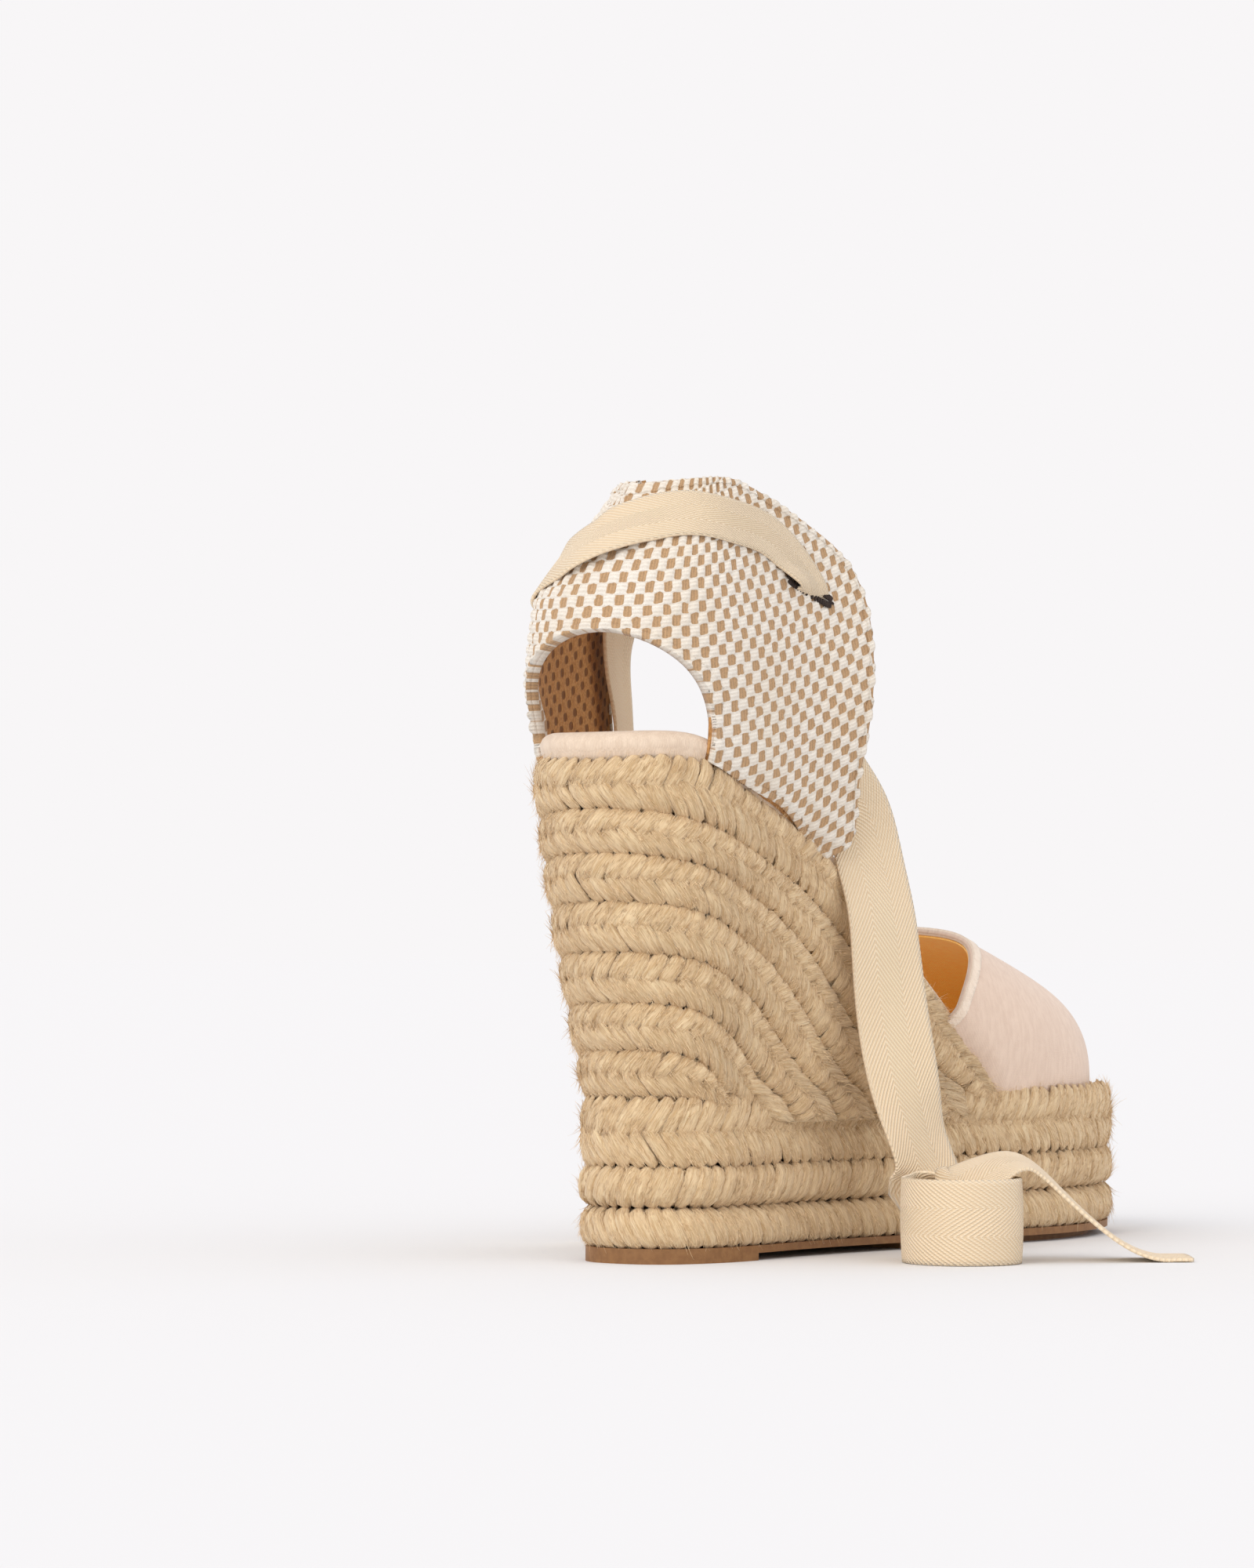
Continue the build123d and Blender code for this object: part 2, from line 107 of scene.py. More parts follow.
# Level, back end, and half widths at y = 15, 40 and 57 of the outside of the counter.
COUNTER_LEVELS = np.array([
    (90, -15.6, 27.0, 27.6, 28.6),
    (106, -15.8, 27.2, 28.2, 31.0),
    (122, -16.2, 28.0, 31.2, 36.2),
    (136, -17.5, 28.4, 32.4, 38.2),
    (150, -15.6, 28.0, 32.2, 37.6),
    (162, -11.0, 26.6, 31.0, 36.0),
    (173, -3.0, 24.8, 29.4, 34.2),
    (188, 9.0, 21.5, 27.0, 32.0),
])
COUNTER_KNOTS = (-106, -91, -73, -48, -24, 0, 24, 48, 73, 91, 106)
COUNTER_SIDE = [
    (-24, 112), (-24, 150), (-14, 170), (-2, 179.5), (7, 184.4), (15, 185), (23, 182.6),
    (32, 179), (41, 174.4), (49, 168.5), (53.6, 160.5), (55.2, 148), (54.6, 130), (55.8, 113),
    (57.4, 99.8), (55.8, 97.6), (40, 103.5), (14, 113.4), (2, 117.8), (-10, 118),
]
OPENING_ARCH = [
    (-24.5, 112), (-25.2, 124), (-21.6, 135.5), (-12, 144.5), (0, 148.4), (13, 147),
    (22.4, 140.5), (25.4, 129), (24.5, 112),
]
OPENING_FRONT = 3.0
HEM_WIDTH = 1.5
# The slits of the buttonholes: distance round the counter and height, half length and width.
SLIT_PLACE = (69.5, 159.6)
SLIT_RUN, SLIT_WIDE = 6.9, 0.55
BINDING_WIDTH = 2.4

# y, middle, half width at the sole, greatest half width, height above the platform.
VAMP_STATIONS = np.array([
    (96, 0.0, 29.6, 32.0, 50),
    (108, 0.0, 32.0, 34.8, 46.5),
    (120, -0.4, 33.8, 37.2, 42.5),
    (134, -0.8, 36.4, 38.6, 38.0),
    (150, -1.0, 37.4, 38.3, 33.0),
    (166, -1.2, 36.0, 36.0, 27.5),
    (182, -3.0, 30.5, 29.6, 21.0),
    (195, -5.0, 22.0, 20.5, 14.0),
    (203, -6.3, 12.0, 11.0, 8.0),
    (206.4, -6.8, 4.5, 4.0, 3.4),
    (207.4, -7.0, 0.4, 0.4, 1.0),
])
VAMP_SIDE = [
    (98.0, 50.5), (103.2, 59.2), (108.5, 65.5), (115.5, 71.5), (124, 76.2), (132, 80.5), (140, 96),
]

VIEW_TURN = 33.0
VIEW_DISTANCE = 1215.0
VIEW_ANCHOR = (0.0, 22.0)
VIEW_HEIGHT = 73.0
VIEW_ASIDE = 9.75
VIEW_LENS = 116.64
VIEW_SHIFT = 0.1085

RIBBON_HALF = 10.0
RIBBON_RIGHT = [
    ((25.6, 36.5, 158), (0, 0.93, -0.36), 6.8),
    ((26.4, 41, 146), (0.20, 0.93, 0.2), 8.5),
    ((28.0, 45.5, 131), (0.34, 0.89, 0.3), 9.6),
    ((29.4, 50.5, 116), (0.32, 0.88, 0.33), 9.6),
    ((29.5, 63.4, 103.5), (0.50, 0.84, 0.2), 9.0),
    ((30.8, 65, 95.5), (0.50, 0.866, 0.1), 9.2),
    ((34.0, 64, 86), (0.46, 0.89, 0.0), 9.4),
    ((36.6, 64.0, 67), (0.45, 0.89, 0.0), 10.0),
    ((42.4, 62.4, 40), (0.42, 0.91, 0.0), 10.0),
]
RIBBON_LEFT_FLOOR = [
    ((-44.6, 66.0, 24), (-0.5, 0.86, 0.1), 10.0),
    ((-47.4, 70.5, 10), (-0.8, 0.6, 0.1), 10.0),
    ((-49.0, 78.0, 2.4), (-0.98, 0.2, 0.0), 10.0),
    ((-50.4, 90.0, 0.6), (-1.0, 0.1, 0.0), 10.0),
    ((-52.4, 112, 0.6), (-1.0, 0.08, 0.0), 10.0),
    ((-54.0, 126, 5.0), (-1.0, 0.06, 0.0), 10.0),
    ((-55.4, 136, 13.0), (-1.0, 0.05, 0.0), 10.0),
    ((-56.4, 144, 12.6), (-1.0, 0.05, 0.0), 10.0),
    ((-57.6, 153, 4.0), (-1.0, 0.06, 0.0), 10.0),
    ((-59.0, 165, 0.6), (-1.0, 0.10, 0.0), 10.0),
    ((-62.0, 184, 0.6), (-1.0, 0.16, 0.0), 10.0),
    ((-66.0, 204, 0.6), (-1.0, 0.24, 0.0), 10.0),
    ((-70.0, 216, 0.6), (-1.0, 0.28, 0.0), 10.0),
]
# Seen along the view: aside and deeper from the view's anchor, and height.
RIBBON_CURL = [
    (60.6, 10.4, 28.0, (0.21, 0.97, 0.05)), (63.0, 8.8, 18.5, (0.16, 0.8, 0.55)),
    (61.4, 3.5, 12.4, (0.05, 0.3, 0.95)), (57.2, -4.0, 10.3, (0, 0, 1)),
    (55.9, -14.0, 10.2, (0, 0, 1)), (60.4, -24.0, 10.2, (0, 0, 1)),
    (69.3, -28.4, 10.2, (0, 0, 1)), (78.6, -25.0, 10.2, (0, 0, 1)),
    (83.2, -15.0, 10.2, (0, 0, 1)), (79.5, -5.0, 10.3, (0, 0, 1)),
    (70.5, -3.2, 10.6, (-0.1, 0.05, 0.99)), (64.8, -10.0, 12.4, (-0.3, 0.3, 0.9)),
    (69.0, -14.5, 17.4, (-0.5, 0.6, 0.62)), (76.0, -11.5, 22.2, (-0.52, 0.8, 0.3)),
    (84.0, -8.0, 23.6, (-0.52, 0.84, 0.12)), (92.5, -6.0, 17.5, (-0.52, 0.85, 0.05)),
    (101.5, -5.0, 9.0, (-0.52, 0.85, 0)), (110.0, -4.0, 3.0, (-0.52, 0.85, 0)),
    (117.0, -3.0, 0.7, (-0.52, 0.85, 0)), (124.0, -2.5, 0.6, (-0.52, 0.85, 0)),
]
BAND_LOWER = [
    (-31, 29.8, 162.2), (-29.5, 22, 157.5), (-27, 12, 155), (-21, 0, 156), (-12, -9, 160.4),
    (0, -12, 165.6), (15, -2, 170.2), (24.5, 11, 169.8), (28.5, 25, 165.8), (30.4, 32, 160.0),
]
BAND_UPPER = [
    (-31.5, 43.2, 157.2), (-29.5, 33, 164), (-26, 22, 167.5), (-21, 10, 170), (-12, 2, 173),
    (0, 1, 178), (12, 6, 180.6), (21.5, 14.7, 178.6), (26, 32, 171.6), (30.4, 42.6, 157.4),
]


def smooth(knots, values):
    """A smooth curve through values at knots, as a function of arrays."""
    x, y = np.array(knots, float), np.array(values, float)
    h, count = np.diff(x), len(x)
    rows, right = np.eye(count), np.zeros_like(y)
    for i in range(1, count - 1):
        rows[i, i - 1:i + 2] = h[i - 1], 2 * (h[i - 1] + h[i]), h[i]
        right[i] = 6 * ((y[i + 1] - y[i]) / h[i] - (y[i] - y[i - 1]) / h[i - 1])
    bend = np.linalg.solve(rows, right)

    def at(t):
        t = np.asarray(t, float)
        i = np.clip(np.searchsorted(x, t) - 1, 0, count - 2)
        a, b, step = (x[i + 1] - t) / h[i], (t - x[i]) / h[i], h[i]
        if y.ndim > 1:
            a, b, step = a[..., None], b[..., None], step[..., None]
        curve = ((a ** 3 - a) * bend[i] + (b ** 3 - b) * bend[i + 1]) * step ** 2 / 6
        return a * y[i] + b * y[i + 1] + curve

    return at


def along(points):
    """Distance along a line of points, from its start."""
    steps = np.linalg.norm(np.diff(points, axis=0), axis=1)
    return np.concatenate([[0.0], np.cumsum(steps)])


def resample(points, count):
    """The same line with points at equal distances."""
    far = along(points)
    at = np.linspace(0, far[-1], count)
    return np.stack([np.interp(at, far, points[:, k]) for k in range(points.shape[1])], 1)


def closed_line(points, count=720):
    """A smooth closed line through points, with its points at equal distances."""
    points = np.array(points, float)
    wrapped = np.concatenate([points[-3:], points, points[:4]])
    line = smooth(along(wrapped), wrapped)
    start, end = along(wrapped)[3], along(wrapped)[3 + len(points)]
    return resample(line(np.linspace(start, end, 4 * count)), count + 1)


def open_line(points, count=200):
    points = np.array(points, float)
    far = along(points)
    return resample(smooth(far, points)(np.linspace(0, far[-1], 4 * count)), count)


def unit(v):
    return v / np.maximum(np.linalg.norm(v, axis=-1, keepdims=True), 1e-9)


def signed_distance(a, b, line):
    """Distance of points (a, b) from a closed line, positive outside it."""
    start, end = line[:-1], line[1:]
    side = end - start
    best, inside = np.full(a.shape, np.inf), np.zeros(a.shape, bool)
    for (x0, y0), (dx, dy) in zip(start, side):
        t = np.clip(((a - x0) * dx + (b - y0) * dy) / (dx * dx + dy * dy + 1e-12), 0, 1)
        best = np.minimum(best, np.hypot(a - x0 - t * dx, b - y0 - t * dy))
        crosses = (y0 > b) != (y0 + dy > b)
        if abs(dy) > 1e-12:
            inside ^= crosses & (a < x0 + (b - y0) * dx / dy)
    return np.where(inside, -best, best)


# ------------------------------------------------------------------ mesh helpers


def placed(points):
    """Drawing points in millimetres as row frame points in metres."""
    return ORIGIN + np.asarray(points, float) * MM


def mesh_of(name, bm):
    """Turns a bmesh into a mesh and frees it."""
    mesh = bpy.data.meshes.new(name)
    bm.to_mesh(mesh)
    bm.free()
    return mesh


def finish_piece(name, mesh, look, replaced=()):
    """Makes the object of a mesh, gives it its look, and has it ride on the frame."""
    obj = bpy.data.objects.new(name, mesh)
    bpy.context.collection.objects.link(obj)
    mesh.materials.append(bpy.data.materials["look_" + look])
    for polygon in mesh.polygons:
        polygon.use_smooth = True
    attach(obj, "root")
    if replaced:
        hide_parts(*replaced)
    return obj


def point_attribute(mesh, name, values):
    """A vector on each point of a mesh, in millimetres, for its material to read."""
    layer = mesh.attributes.new(name, "FLOAT_VECTOR", "POINT")
    layer.data.foreach_set("vector", np.asarray(values, np.float32).ravel())


def coordinates(mesh):
    flat = np.empty(len(mesh.vertices) * 3, np.float32)
    mesh.vertices.foreach_get("co", flat)
    return flat.reshape(-1, 3).astype(float)


def set_coordinates(mesh, points):
    mesh.vertices.foreach_set("co", np.asarray(points, np.float32).ravel())
    mesh.update()


def grid_mesh(name, columns, rows):
    """A flat grid and the column and row of each of its points."""
    bm = bmesh.new()
    bmesh.ops.create_grid(bm, x_segments=columns, y_segments=rows, size=1)
    mesh = mesh_of(name, bm)
    places = coordinates(mesh)
    column = np.rint((places[:, 0] + 1) / 2 * columns).astype(int)
    row = np.rint((places[:, 1] + 1) / 2 * rows).astype(int)
    return mesh, column, row


def closed_up(mesh, fill=True):
    """Joins the seams of a mesh, fills its ends and turns its faces outwards."""
    bm = bmesh.new()
    bm.from_mesh(mesh)
    bmesh.ops.remove_doubles(bm, verts=bm.verts, dist=1e-7)
    bmesh.ops.dissolve_degenerate(bm, edges=bm.edges, dist=1e-8)
    if fill:
        rim = [e for e in bm.edges if e.is_boundary]
        if rim:
            bmesh.ops.holes_fill(bm, edges=rim, sides=0)
    bmesh.ops.recalc_face_normals(bm, faces=bm.faces)
    bm.to_mesh(mesh)
    bm.free()
    return mesh


def skin(name, points, attribute, values, fill=True):
    """A closed surface over rings of points; rings and their ends join where they meet."""
    rings, around = points.shape[:2]
    mesh, column, row = grid_mesh(name, rings - 1, around - 1)
    set_coordinates(mesh, placed(points[column, row]))
    point_attribute(mesh, attribute, values[column, row])
    return closed_up(mesh, fill)


def joined(name, parts):
    """Several meshes as one, attributes kept."""
    bm = bmesh.new()
    for part in parts:
        bm.from_mesh(part)
    return mesh_of(name, bm)


def copies(name, template, count):
    """One mesh of many copies of a small shape, with the shape's own points."""
    return joined(name, [template] * count), coordinates(template)


def strand_shape():
    """The small closed shape of one visible bight of a plaited strand."""
    bm = bmesh.new()
    bmesh.ops.create_uvsphere(bm, u_segments=8, v_segments=6, radius=1)
    return mesh_of("strand", bm)


def hair_shape():
    """A thin three-sided fibre, one unit long, with two rings between its ends."""
    bm = bmesh.new()
    bmesh.ops.create_circle(bm, cap_ends=True, segments=3, radius=1)
    top = list(bm.faces)
    for _ in range(3):
        out = bmesh.ops.extrude_face_region(bm, geom=top)["geom"]
        top = [g for g in out if isinstance(g, bmesh.types.BMFace)]
        verts = [g for g in out if isinstance(g, bmesh.types.BMVert)]
        bmesh.ops.translate(bm, verts=verts, vec=(0, 0, 1 / 3))
    bmesh.ops.recalc_face_normals(bm, faces=bm.faces)
    return mesh_of("hair", bm)


# ------------------------------------------------------------------ shader helpers


class Signal:
    """A value in a material that can be used in ordinary sums."""

    def __init__(self, paint, socket):
        self.paint, self.socket = paint, socket

    def math(self, operation, *others, clamp=False):
        settings = {"operation": operation, "use_clamp": clamp}
        return self.paint.node("ShaderNodeMath", settings, {0: self, **dict(enumerate(others, 1))})

    def __add__(self, other):
        return self.math("ADD", other)

    def __radd__(self, other):
        return self.math("ADD", other)

    def __sub__(self, other):
        return self.math("SUBTRACT", other)

    def __rsub__(self, other):
        return self.paint.node("ShaderNodeMath", {"operation": "SUBTRACT"}, {0: other, 1: self})

    def __mul__(self, other):
        return self.math("MULTIPLY", other)

    def __rmul__(self, other):
        return self.math("MULTIPLY", other)

    def __truediv__(self, other):
        return self.math("DIVIDE", other)

    def step(self, low, high):
        """0 below low, 1 above high and smooth between them."""
        settings = {"interpolation_type": "SMOOTHSTEP"}
        inputs = {"Value": self, "From Min": low, "From Max": high}
        return self.paint.node("ShaderNodeMapRange", settings, inputs)

    def wave(self, period):
        """-1 to 1 and back over each period."""
        return self.math("MULTIPLY", 2 * math.pi / period).math("SINE")


class Paint:
    """A material and the one way its nodes are made."""

    def __init__(self, name, **constants):
        self.material = bpy.data.materials.new("look_" + name)
        self.material.use_nodes = True
        self.tree = self.material.node_tree
        self.shader = self.tree.nodes["Principled BSDF"]
        for socket, value in constants.items():
            self.shader.inputs[socket.replace("_", " ")].default_value = value

    def node(self, kind, settings=None, inputs=None, output=0):
        made = self.tree.nodes.new(kind)
        for key, value in (settings or {}).items():
            setattr(made, key, value)
        for key, value in (inputs or {}).items():
            if isinstance(value, Signal):
                self.tree.links.new(value.socket, made.inputs[key])
            else:
                made.inputs[key].default_value = value
        return Signal(self, made.outputs[output])

    def attribute(self, name):
        settings = {"attribute_type": "GEOMETRY", "attribute_name": name}
        return self.node("ShaderNodeAttribute", settings, output="Vector")

    def parts(self, vector):
        return [self.node("ShaderNodeSeparateXYZ", None, {0: vector}, k) for k in range(3)]

    def vector(self, x, y, z):
        return self.node("ShaderNodeCombineXYZ", inputs={0: x, 1: y, 2: z})

    def scaled(self, vector, x, y, z):
        settings = {"operation": "MULTIPLY"}
        return self.node("ShaderNodeVectorMath", settings, {0: vector, 1: (x, y, z)})

    def noise(self, vector, scale=1.0, detail=3.0, roughness=0.55):
        inputs = {"Vector": vector, "Scale": scale, "Detail": detail, "Roughness": roughness}
        return self.node("ShaderNodeTexNoise", {"noise_dimensions": "3D"}, inputs)

    def grain(self, scale, detail=2.0, roughness=0.6):
        """Noise in the piece's own metres, finer as its scale grows."""
        place = self.node("ShaderNodeTexCoord", output="Object")
        sizes = scale if isinstance(scale, tuple) else (scale, scale, scale)
        return self.noise(self.scaled(place, *sizes), 1.0, detail, roughness)

    def mix(self, factor, first, second):
        first = first if isinstance(first, Signal) else (*first, 1)
        second = second if isinstance(second, Signal) else (*second, 1)
        settings = {"data_type": "RGBA"}
        return self.node("ShaderNodeMix", settings, {0: factor, 6: first, 7: second}, 2)

    def colour(self, signal):
        self.tree.links.new(signal.socket, self.shader.inputs["Base Color"])

    def bump(self, height, depth_mm, strength=1.0):
        inputs = {"Height": height, "Distance": depth_mm * MM, "Strength": strength}
        out = self.node("ShaderNodeBump", None, inputs)
        self.tree.links.new(out.socket, self.shader.inputs["Normal"])


def settings():
    return bpy.context.scene.sandal


def tinted(colour, *by):
    """A colour times one factor, or times one for each channel."""
    by = by if len(by) == 3 else by * 3
    return tuple(min(1.0, c * k) for c, k in zip(colour, by))


def jute_material():
    """Plaited jute: fine fibres along each strand, golden with paler and browner ones."""
    light, dark = tuple(settings().jute_light), tuple(settings().jute_dark)
    paint = Paint("jute", Roughness=0.85, Sheen_Weight=0.25, Sheen_Roughness=0.5,
                  Specular_IOR_Level=0.2)
    place = paint.attribute("fibre")
    fine = paint.noise(paint.scaled(place, 3.6, 3.6, 0.22), 1.0, 3.0, 0.65)
    coarse = paint.noise(paint.scaled(place, 1.3, 1.3, 0.16), 1.0, 2.0, 0.5)
    patches = paint.grain(160, roughness=0.5)
    tone = paint.mix(fine.step(0.36, 0.60), dark, light)
    pale = tuple(min(1.0, c * 1.16 + 0.04) for c in light)
    tone = paint.mix(coarse.step(0.50, 0.72) * 0.55, tone, pale)
    brown = tinted(dark, 0.72, 0.64, 0.55)
    tone = paint.mix(coarse.step(0.46, 0.30) * 0.35, tone, brown)
    tone = paint.mix(patches.step(0.35, 0.75) * 0.25, tone, brown)
    paint.colour(tone)
    paint.bump(fine + coarse * 0.5, 0.5, 1.0)
    return paint.material


def hair_material():
    own = settings()
    paint = Paint("jute_fibre", Roughness=0.7, Sheen_Weight=0.2, Specular_IOR_Level=0.25)
    spots = paint.grain(900, 1.0, 0.5)
    light = tuple(min(1.0, c * 1.12 + 0.02) for c in own.jute_light)
    paint.colour(paint.mix(spots.step(0.35, 0.65), tuple(own.jute_dark), light))
    return paint.material


def check_material():
    """Coarse check canvas: raised off-white bundles and recessed tan ones."""
    own = settings()
    paint = Paint("check_canvas", Roughness=0.9, Sheen_Weight=0.2, Specular_IOR_Level=0.15)
    u, v, _ = paint.parts(paint.attribute("cloth"))
    cell = own.check_cell
    wobble = paint.noise(paint.vector(u * 0.35, v * 0.35, 0.0), 1.0, 2.0, 0.5) - 0.5
    row = (v + wobble * 1.1).wave(2 * cell) * 2.2
    pattern = (u + wobble * 1.4).wave(2 * cell) * row.math("MINIMUM", 1.0).math("MAXIMUM", -1.0)
    white = pattern.step(-0.34, -0.04)
    thread_u = (u.wave(cell / 3) * 0.5 + 0.5) * (1 - white)
    thread_v = (v.wave(cell / 3) * 0.5 + 0.5) * white
    thread = thread_u + thread_v
    fuzz, drift = paint.grain(2600), paint.grain(70, roughness=0.5)
    speckle = fuzz.step(0.3, 0.7)
    cream = paint.mix(speckle, tinted(own.check_white, 0.86), tuple(own.check_white))
    tan = paint.mix(speckle, tinted(own.check_tan, 0.72), tuple(own.check_tan))
    # Painted highlight: each tan thread is lighter along its raised middle.
    tan = paint.mix(thread * 0.35, tan, tinted(own.check_tan, 1.35))
    cream = paint.mix(drift.step(0.35, 0.7) * 0.25, cream, (0.74, 0.63, 0.47))
    tone = paint.mix(white, tan, cream)
    # Painted shade: the gaps between the threads are darkened towards brown.
    tone = paint.mix((1 - thread) * 0.20, tone, (0.40, 0.27, 0.16))
    paint.colour(tone)
    paint.bump(thread * 0.5 + fuzz * 0.5, 0.22, 0.8)
    return paint.material


def reverse_material():
    """The back of the check canvas: brown, with painted shade in the holes between its threads and
    a painted highlight along their tops.
    """
    paint = Paint("check_reverse", Roughness=0.92, Sheen_Weight=0.15, Specular_IOR_Level=0.1)
    u, v, _ = paint.parts(paint.attribute("cloth"))
    cell = settings().check_cell
    pattern = u.wave(2 * cell) * v.wave(2 * cell)
    thread = u.wave(cell / 3) * 0.5 + 0.5
    fuzz = paint.grain(1500)
    tone = paint.mix(fuzz.step(0.3, 0.7), (0.44, 0.205, 0.07), (0.62, 0.33, 0.12))
    # Painted shade: the holes between the threads are dark, sunk like the bump.
    tone = paint.mix(pattern.step(0.15, 0.55), tone, (0.18, 0.07, 0.02))
    # Painted highlight: the threads are lighter along their tops.
    tone = paint.mix(thread * 0.2, tone, (0.68, 0.40, 0.17))
    paint.colour(tone)
    paint.bump(pattern * -0.6 + thread * 0.3 + fuzz * 0.4, 0.3, 0.8)
    return paint.material


def canvas_material(name, base, shade, cell=0.42, depth=0.12, **more):
    """Fine plain canvas in a pattern of its own threads, each with a painted highlight along its
    top.
    """
    paint = Paint(name, Roughness=0.88, Sheen_Weight=0.35, Sheen_Roughness=0.4,
                  Specular_IOR_Level=0.2, **more)
    u, v, _ = paint.parts(paint.attribute("cloth"))
    over = u.wave(2 * cell) * v.wave(2 * cell)
    weft = (u.wave(cell) * 0.5 + 0.5) * over.step(-0.2, 0.2)
    warp = (v.wave(cell) * 0.5 + 0.5) * over.step(0.2, -0.2)
    slub, drift = paint.grain((700, 700, 220), 3.0), paint.grain(60, roughness=0.5)
    tone = paint.mix(slub.step(0.3, 0.7), shade, base)
    # Painted highlight: each thread is lighter along its raised middle.
    tone = paint.mix((weft + warp) * 0.25, tone, tinted(base, 1.15))
    tone = paint.mix(drift.step(0.4, 0.7) * 0.2, tone, shade)
    paint.colour(tone)
    paint.bump(weft + warp + slub * 0.4, depth, 0.7)
    return paint.material


def ribbon_material():
    """Herringbone twill tape: fine slanted ribs that turn at each column."""
    paint = Paint("twill_ribbon", Roughness=0.8, Sheen_Weight=0.4, Sheen_Roughness=0.35,
                  Specular_IOR_Level=0.25)
    u, v, _ = paint.parts(paint.attribute("cloth"))
    column = 2 * RIBBON_HALF / 3
    fold = ((v + RIBBON_HALF) / column).math("PINGPONG", 1.0) * column
    slant = u + fold * 1.5
    rib = slant.wave(1.5) * 0.5 + 0.5
    yarn = v.wave(0.42) * 0.5 + 0.5
    fuzz, drift = paint.grain(1800), paint.grain(45, roughness=0.5)
    light = tuple(settings().ribbon_colour)
    deep = tinted(light, 0.88, 0.81, 0.72)
    # Painted shade: the grooves between the ribs take the deep colour, the ribs' tops the light
    # one.
    tone = paint.mix(rib.step(0.1, 0.75), deep, light)
    tone = paint.mix(yarn * 0.15, tone, deep)
    tone = paint.mix(drift.step(0.35, 0.7) * 0.2, tone, deep)
    edge = v.math("ABSOLUTE").step(RIBBON_HALF - 1.1, RIBBON_HALF - 0.5)
    tone = paint.mix(edge * 0.45, tone, tinted(light, 1.06))
    paint.colour(tone)
    paint.bump(rib + yarn * 0.25 + fuzz * 0.35, 0.26, 0.9)
    return paint.material


def plain_material(name, base, shade, scale, depth=0.08, roughness=0.85):
    """A matt surface with small mottling, for thread, rubber and board."""
    paint = Paint(name, Roughness=roughness)
    spots, drift = paint.grain(scale, 3.0), paint.grain(60, roughness=0.5)
    tone = paint.mix(spots.step(0.3, 0.7), shade, base)
    paint.colour(paint.mix(drift.step(0.35, 0.7) * 0.3, tone, shade))
    paint.bump(spots, depth, 0.7)
    return paint.material


# ------------------------------------------------------------------ jute rows


class Row:
    """A row of rope or braid between a lower and an upper line on the sandal's side."""

    def __init__(self, lower, upper, closed, bulge):
        self.lower, self.upper, self.closed, self.bulge = lower, upper, closed, bulge
        middle = (lower + upper) / 2
        self.far = along(middle)
        self.length = self.far[-1]
        step = np.gradient(middle, axis=0)
        if closed:
            step[0] = step[-1] = middle[1] - middle[-2]
        out = np.stack([step[:, 1], -step[:, 0], np.zeros(len(step))], 1)
        self.out = unit(out)

    def pick(self, table, u):
        if self.closed:
            u = np.mod(u, self.length)
        return np.stack([np.interp(u, self.far, table[:, k]) for k in range(3)], -1)

    def at(self, u, v, h):
        """Points at distance u along, v from -1 to 1 across, and h proud of the row."""
        low, high = self.pick(self.lower, u), self.pick(self.upper, u)
        out = unit(self.pick(self.out, u))
        across = v[..., None]
        drop = self.bulge * np.abs(across) ** 4
        return (low + high) / 2 + (high - low) / 2 * across + out * (h[..., None] - drop)

    def half_width(self, u):
        return np.linalg.norm(self.pick(self.upper - self.lower, u), axis=-1) / 2


def platform_row(low, high, bulge):
    line = closed_line(PLATFORM_OUTLINE)
    level = np.ones((len(line), 1))
    return Row(np.hstack([line, level * low]), np.hstack([line, level * high]), True, bulge)


def row_height(number):
    """Height of a wedge row's upper edge, as a function of y."""
    top, end = ROW_HEIGHTS[number], ROW_ENDS[number]
    points = [(-40, top), (-18, top)]
    if number:
        fall = HEEL_FALL + [(LEVEL_END + at * (end - LEVEL_END), left) for at, left in ROW_FALL]
    else:
        fall = [(LEVEL_END + at * (end - LEVEL_END), left) for at, left in [(0, 1)] + FALL]
    points += [(y, PLATFORM_TOP + left * (top - PLATFORM_TOP)) for y, left in fall]
    points += [(end, PLATFORM_TOP), (end + 6, PLATFORM_TOP - 8)]
    knots = np.array(points)
    return smooth(knots[:, 0], knots[:, 1])


FOOT_LINE = row_height(0)
SIDE_WIDTH = smooth((30, 56, 92, 124, 140), (25.4, 26.6, 31.2, 36.3, 38.0))


def wedge_radius(z):
    up = np.clip((z - PLATFORM_TOP) / (WEDGE_TOP - PLATFORM_TOP), 0, 1)
    return 19 + 7.2 * (1 - (1 - up) ** 1.6), 20 - 9.2 * up


def wedge_line(number, count=160):
    """One upper edge on the outer side of the wedge, from the back to the platform."""
    if number < len(ROW_HEIGHTS) - 1:
        height = row_height(number)
    else:
        height = smooth((-40, -20, 0, 12, 20, 28), (39, 39, 39, 38, 33, 24))
    angle = np.linspace(0, math.pi / 2, count)
    level = np.full(count, float(ROW_HEIGHTS[number]))
    for _ in range(3):
        radius, centre = wedge_radius(level)
        level = height(centre - radius * np.cos(angle))
    radius, centre = wedge_radius(level)
    heel = np.stack([radius * np.sin(angle), centre - radius * np.cos(angle), level], 1)
    y = np.linspace(centre[-1], ROW_ENDS[number] + 5, 4 * count)
    z = height(y)
    radius, centre = wedge_radius(z)
    t = np.clip((y - centre) / (56 - centre), 0, 1)
    near = radius + (SIDE_WIDTH(np.maximum(y, 50)) - radius) * t * t * (3 - 2 * t)
    x = np.where(y < 56, near, SIDE_WIDTH(y))
    side = resample(np.stack([x, y, z], 1), 2 * count)
    right = np.concatenate([heel, side[1:]])
    left = right[:0:-1] * np.array([-1, 1, 1])
    return np.concatenate([left, right])


def wedge_row(number):
    return Row(wedge_line(number + 1), wedge_line(number), False, 1.6)


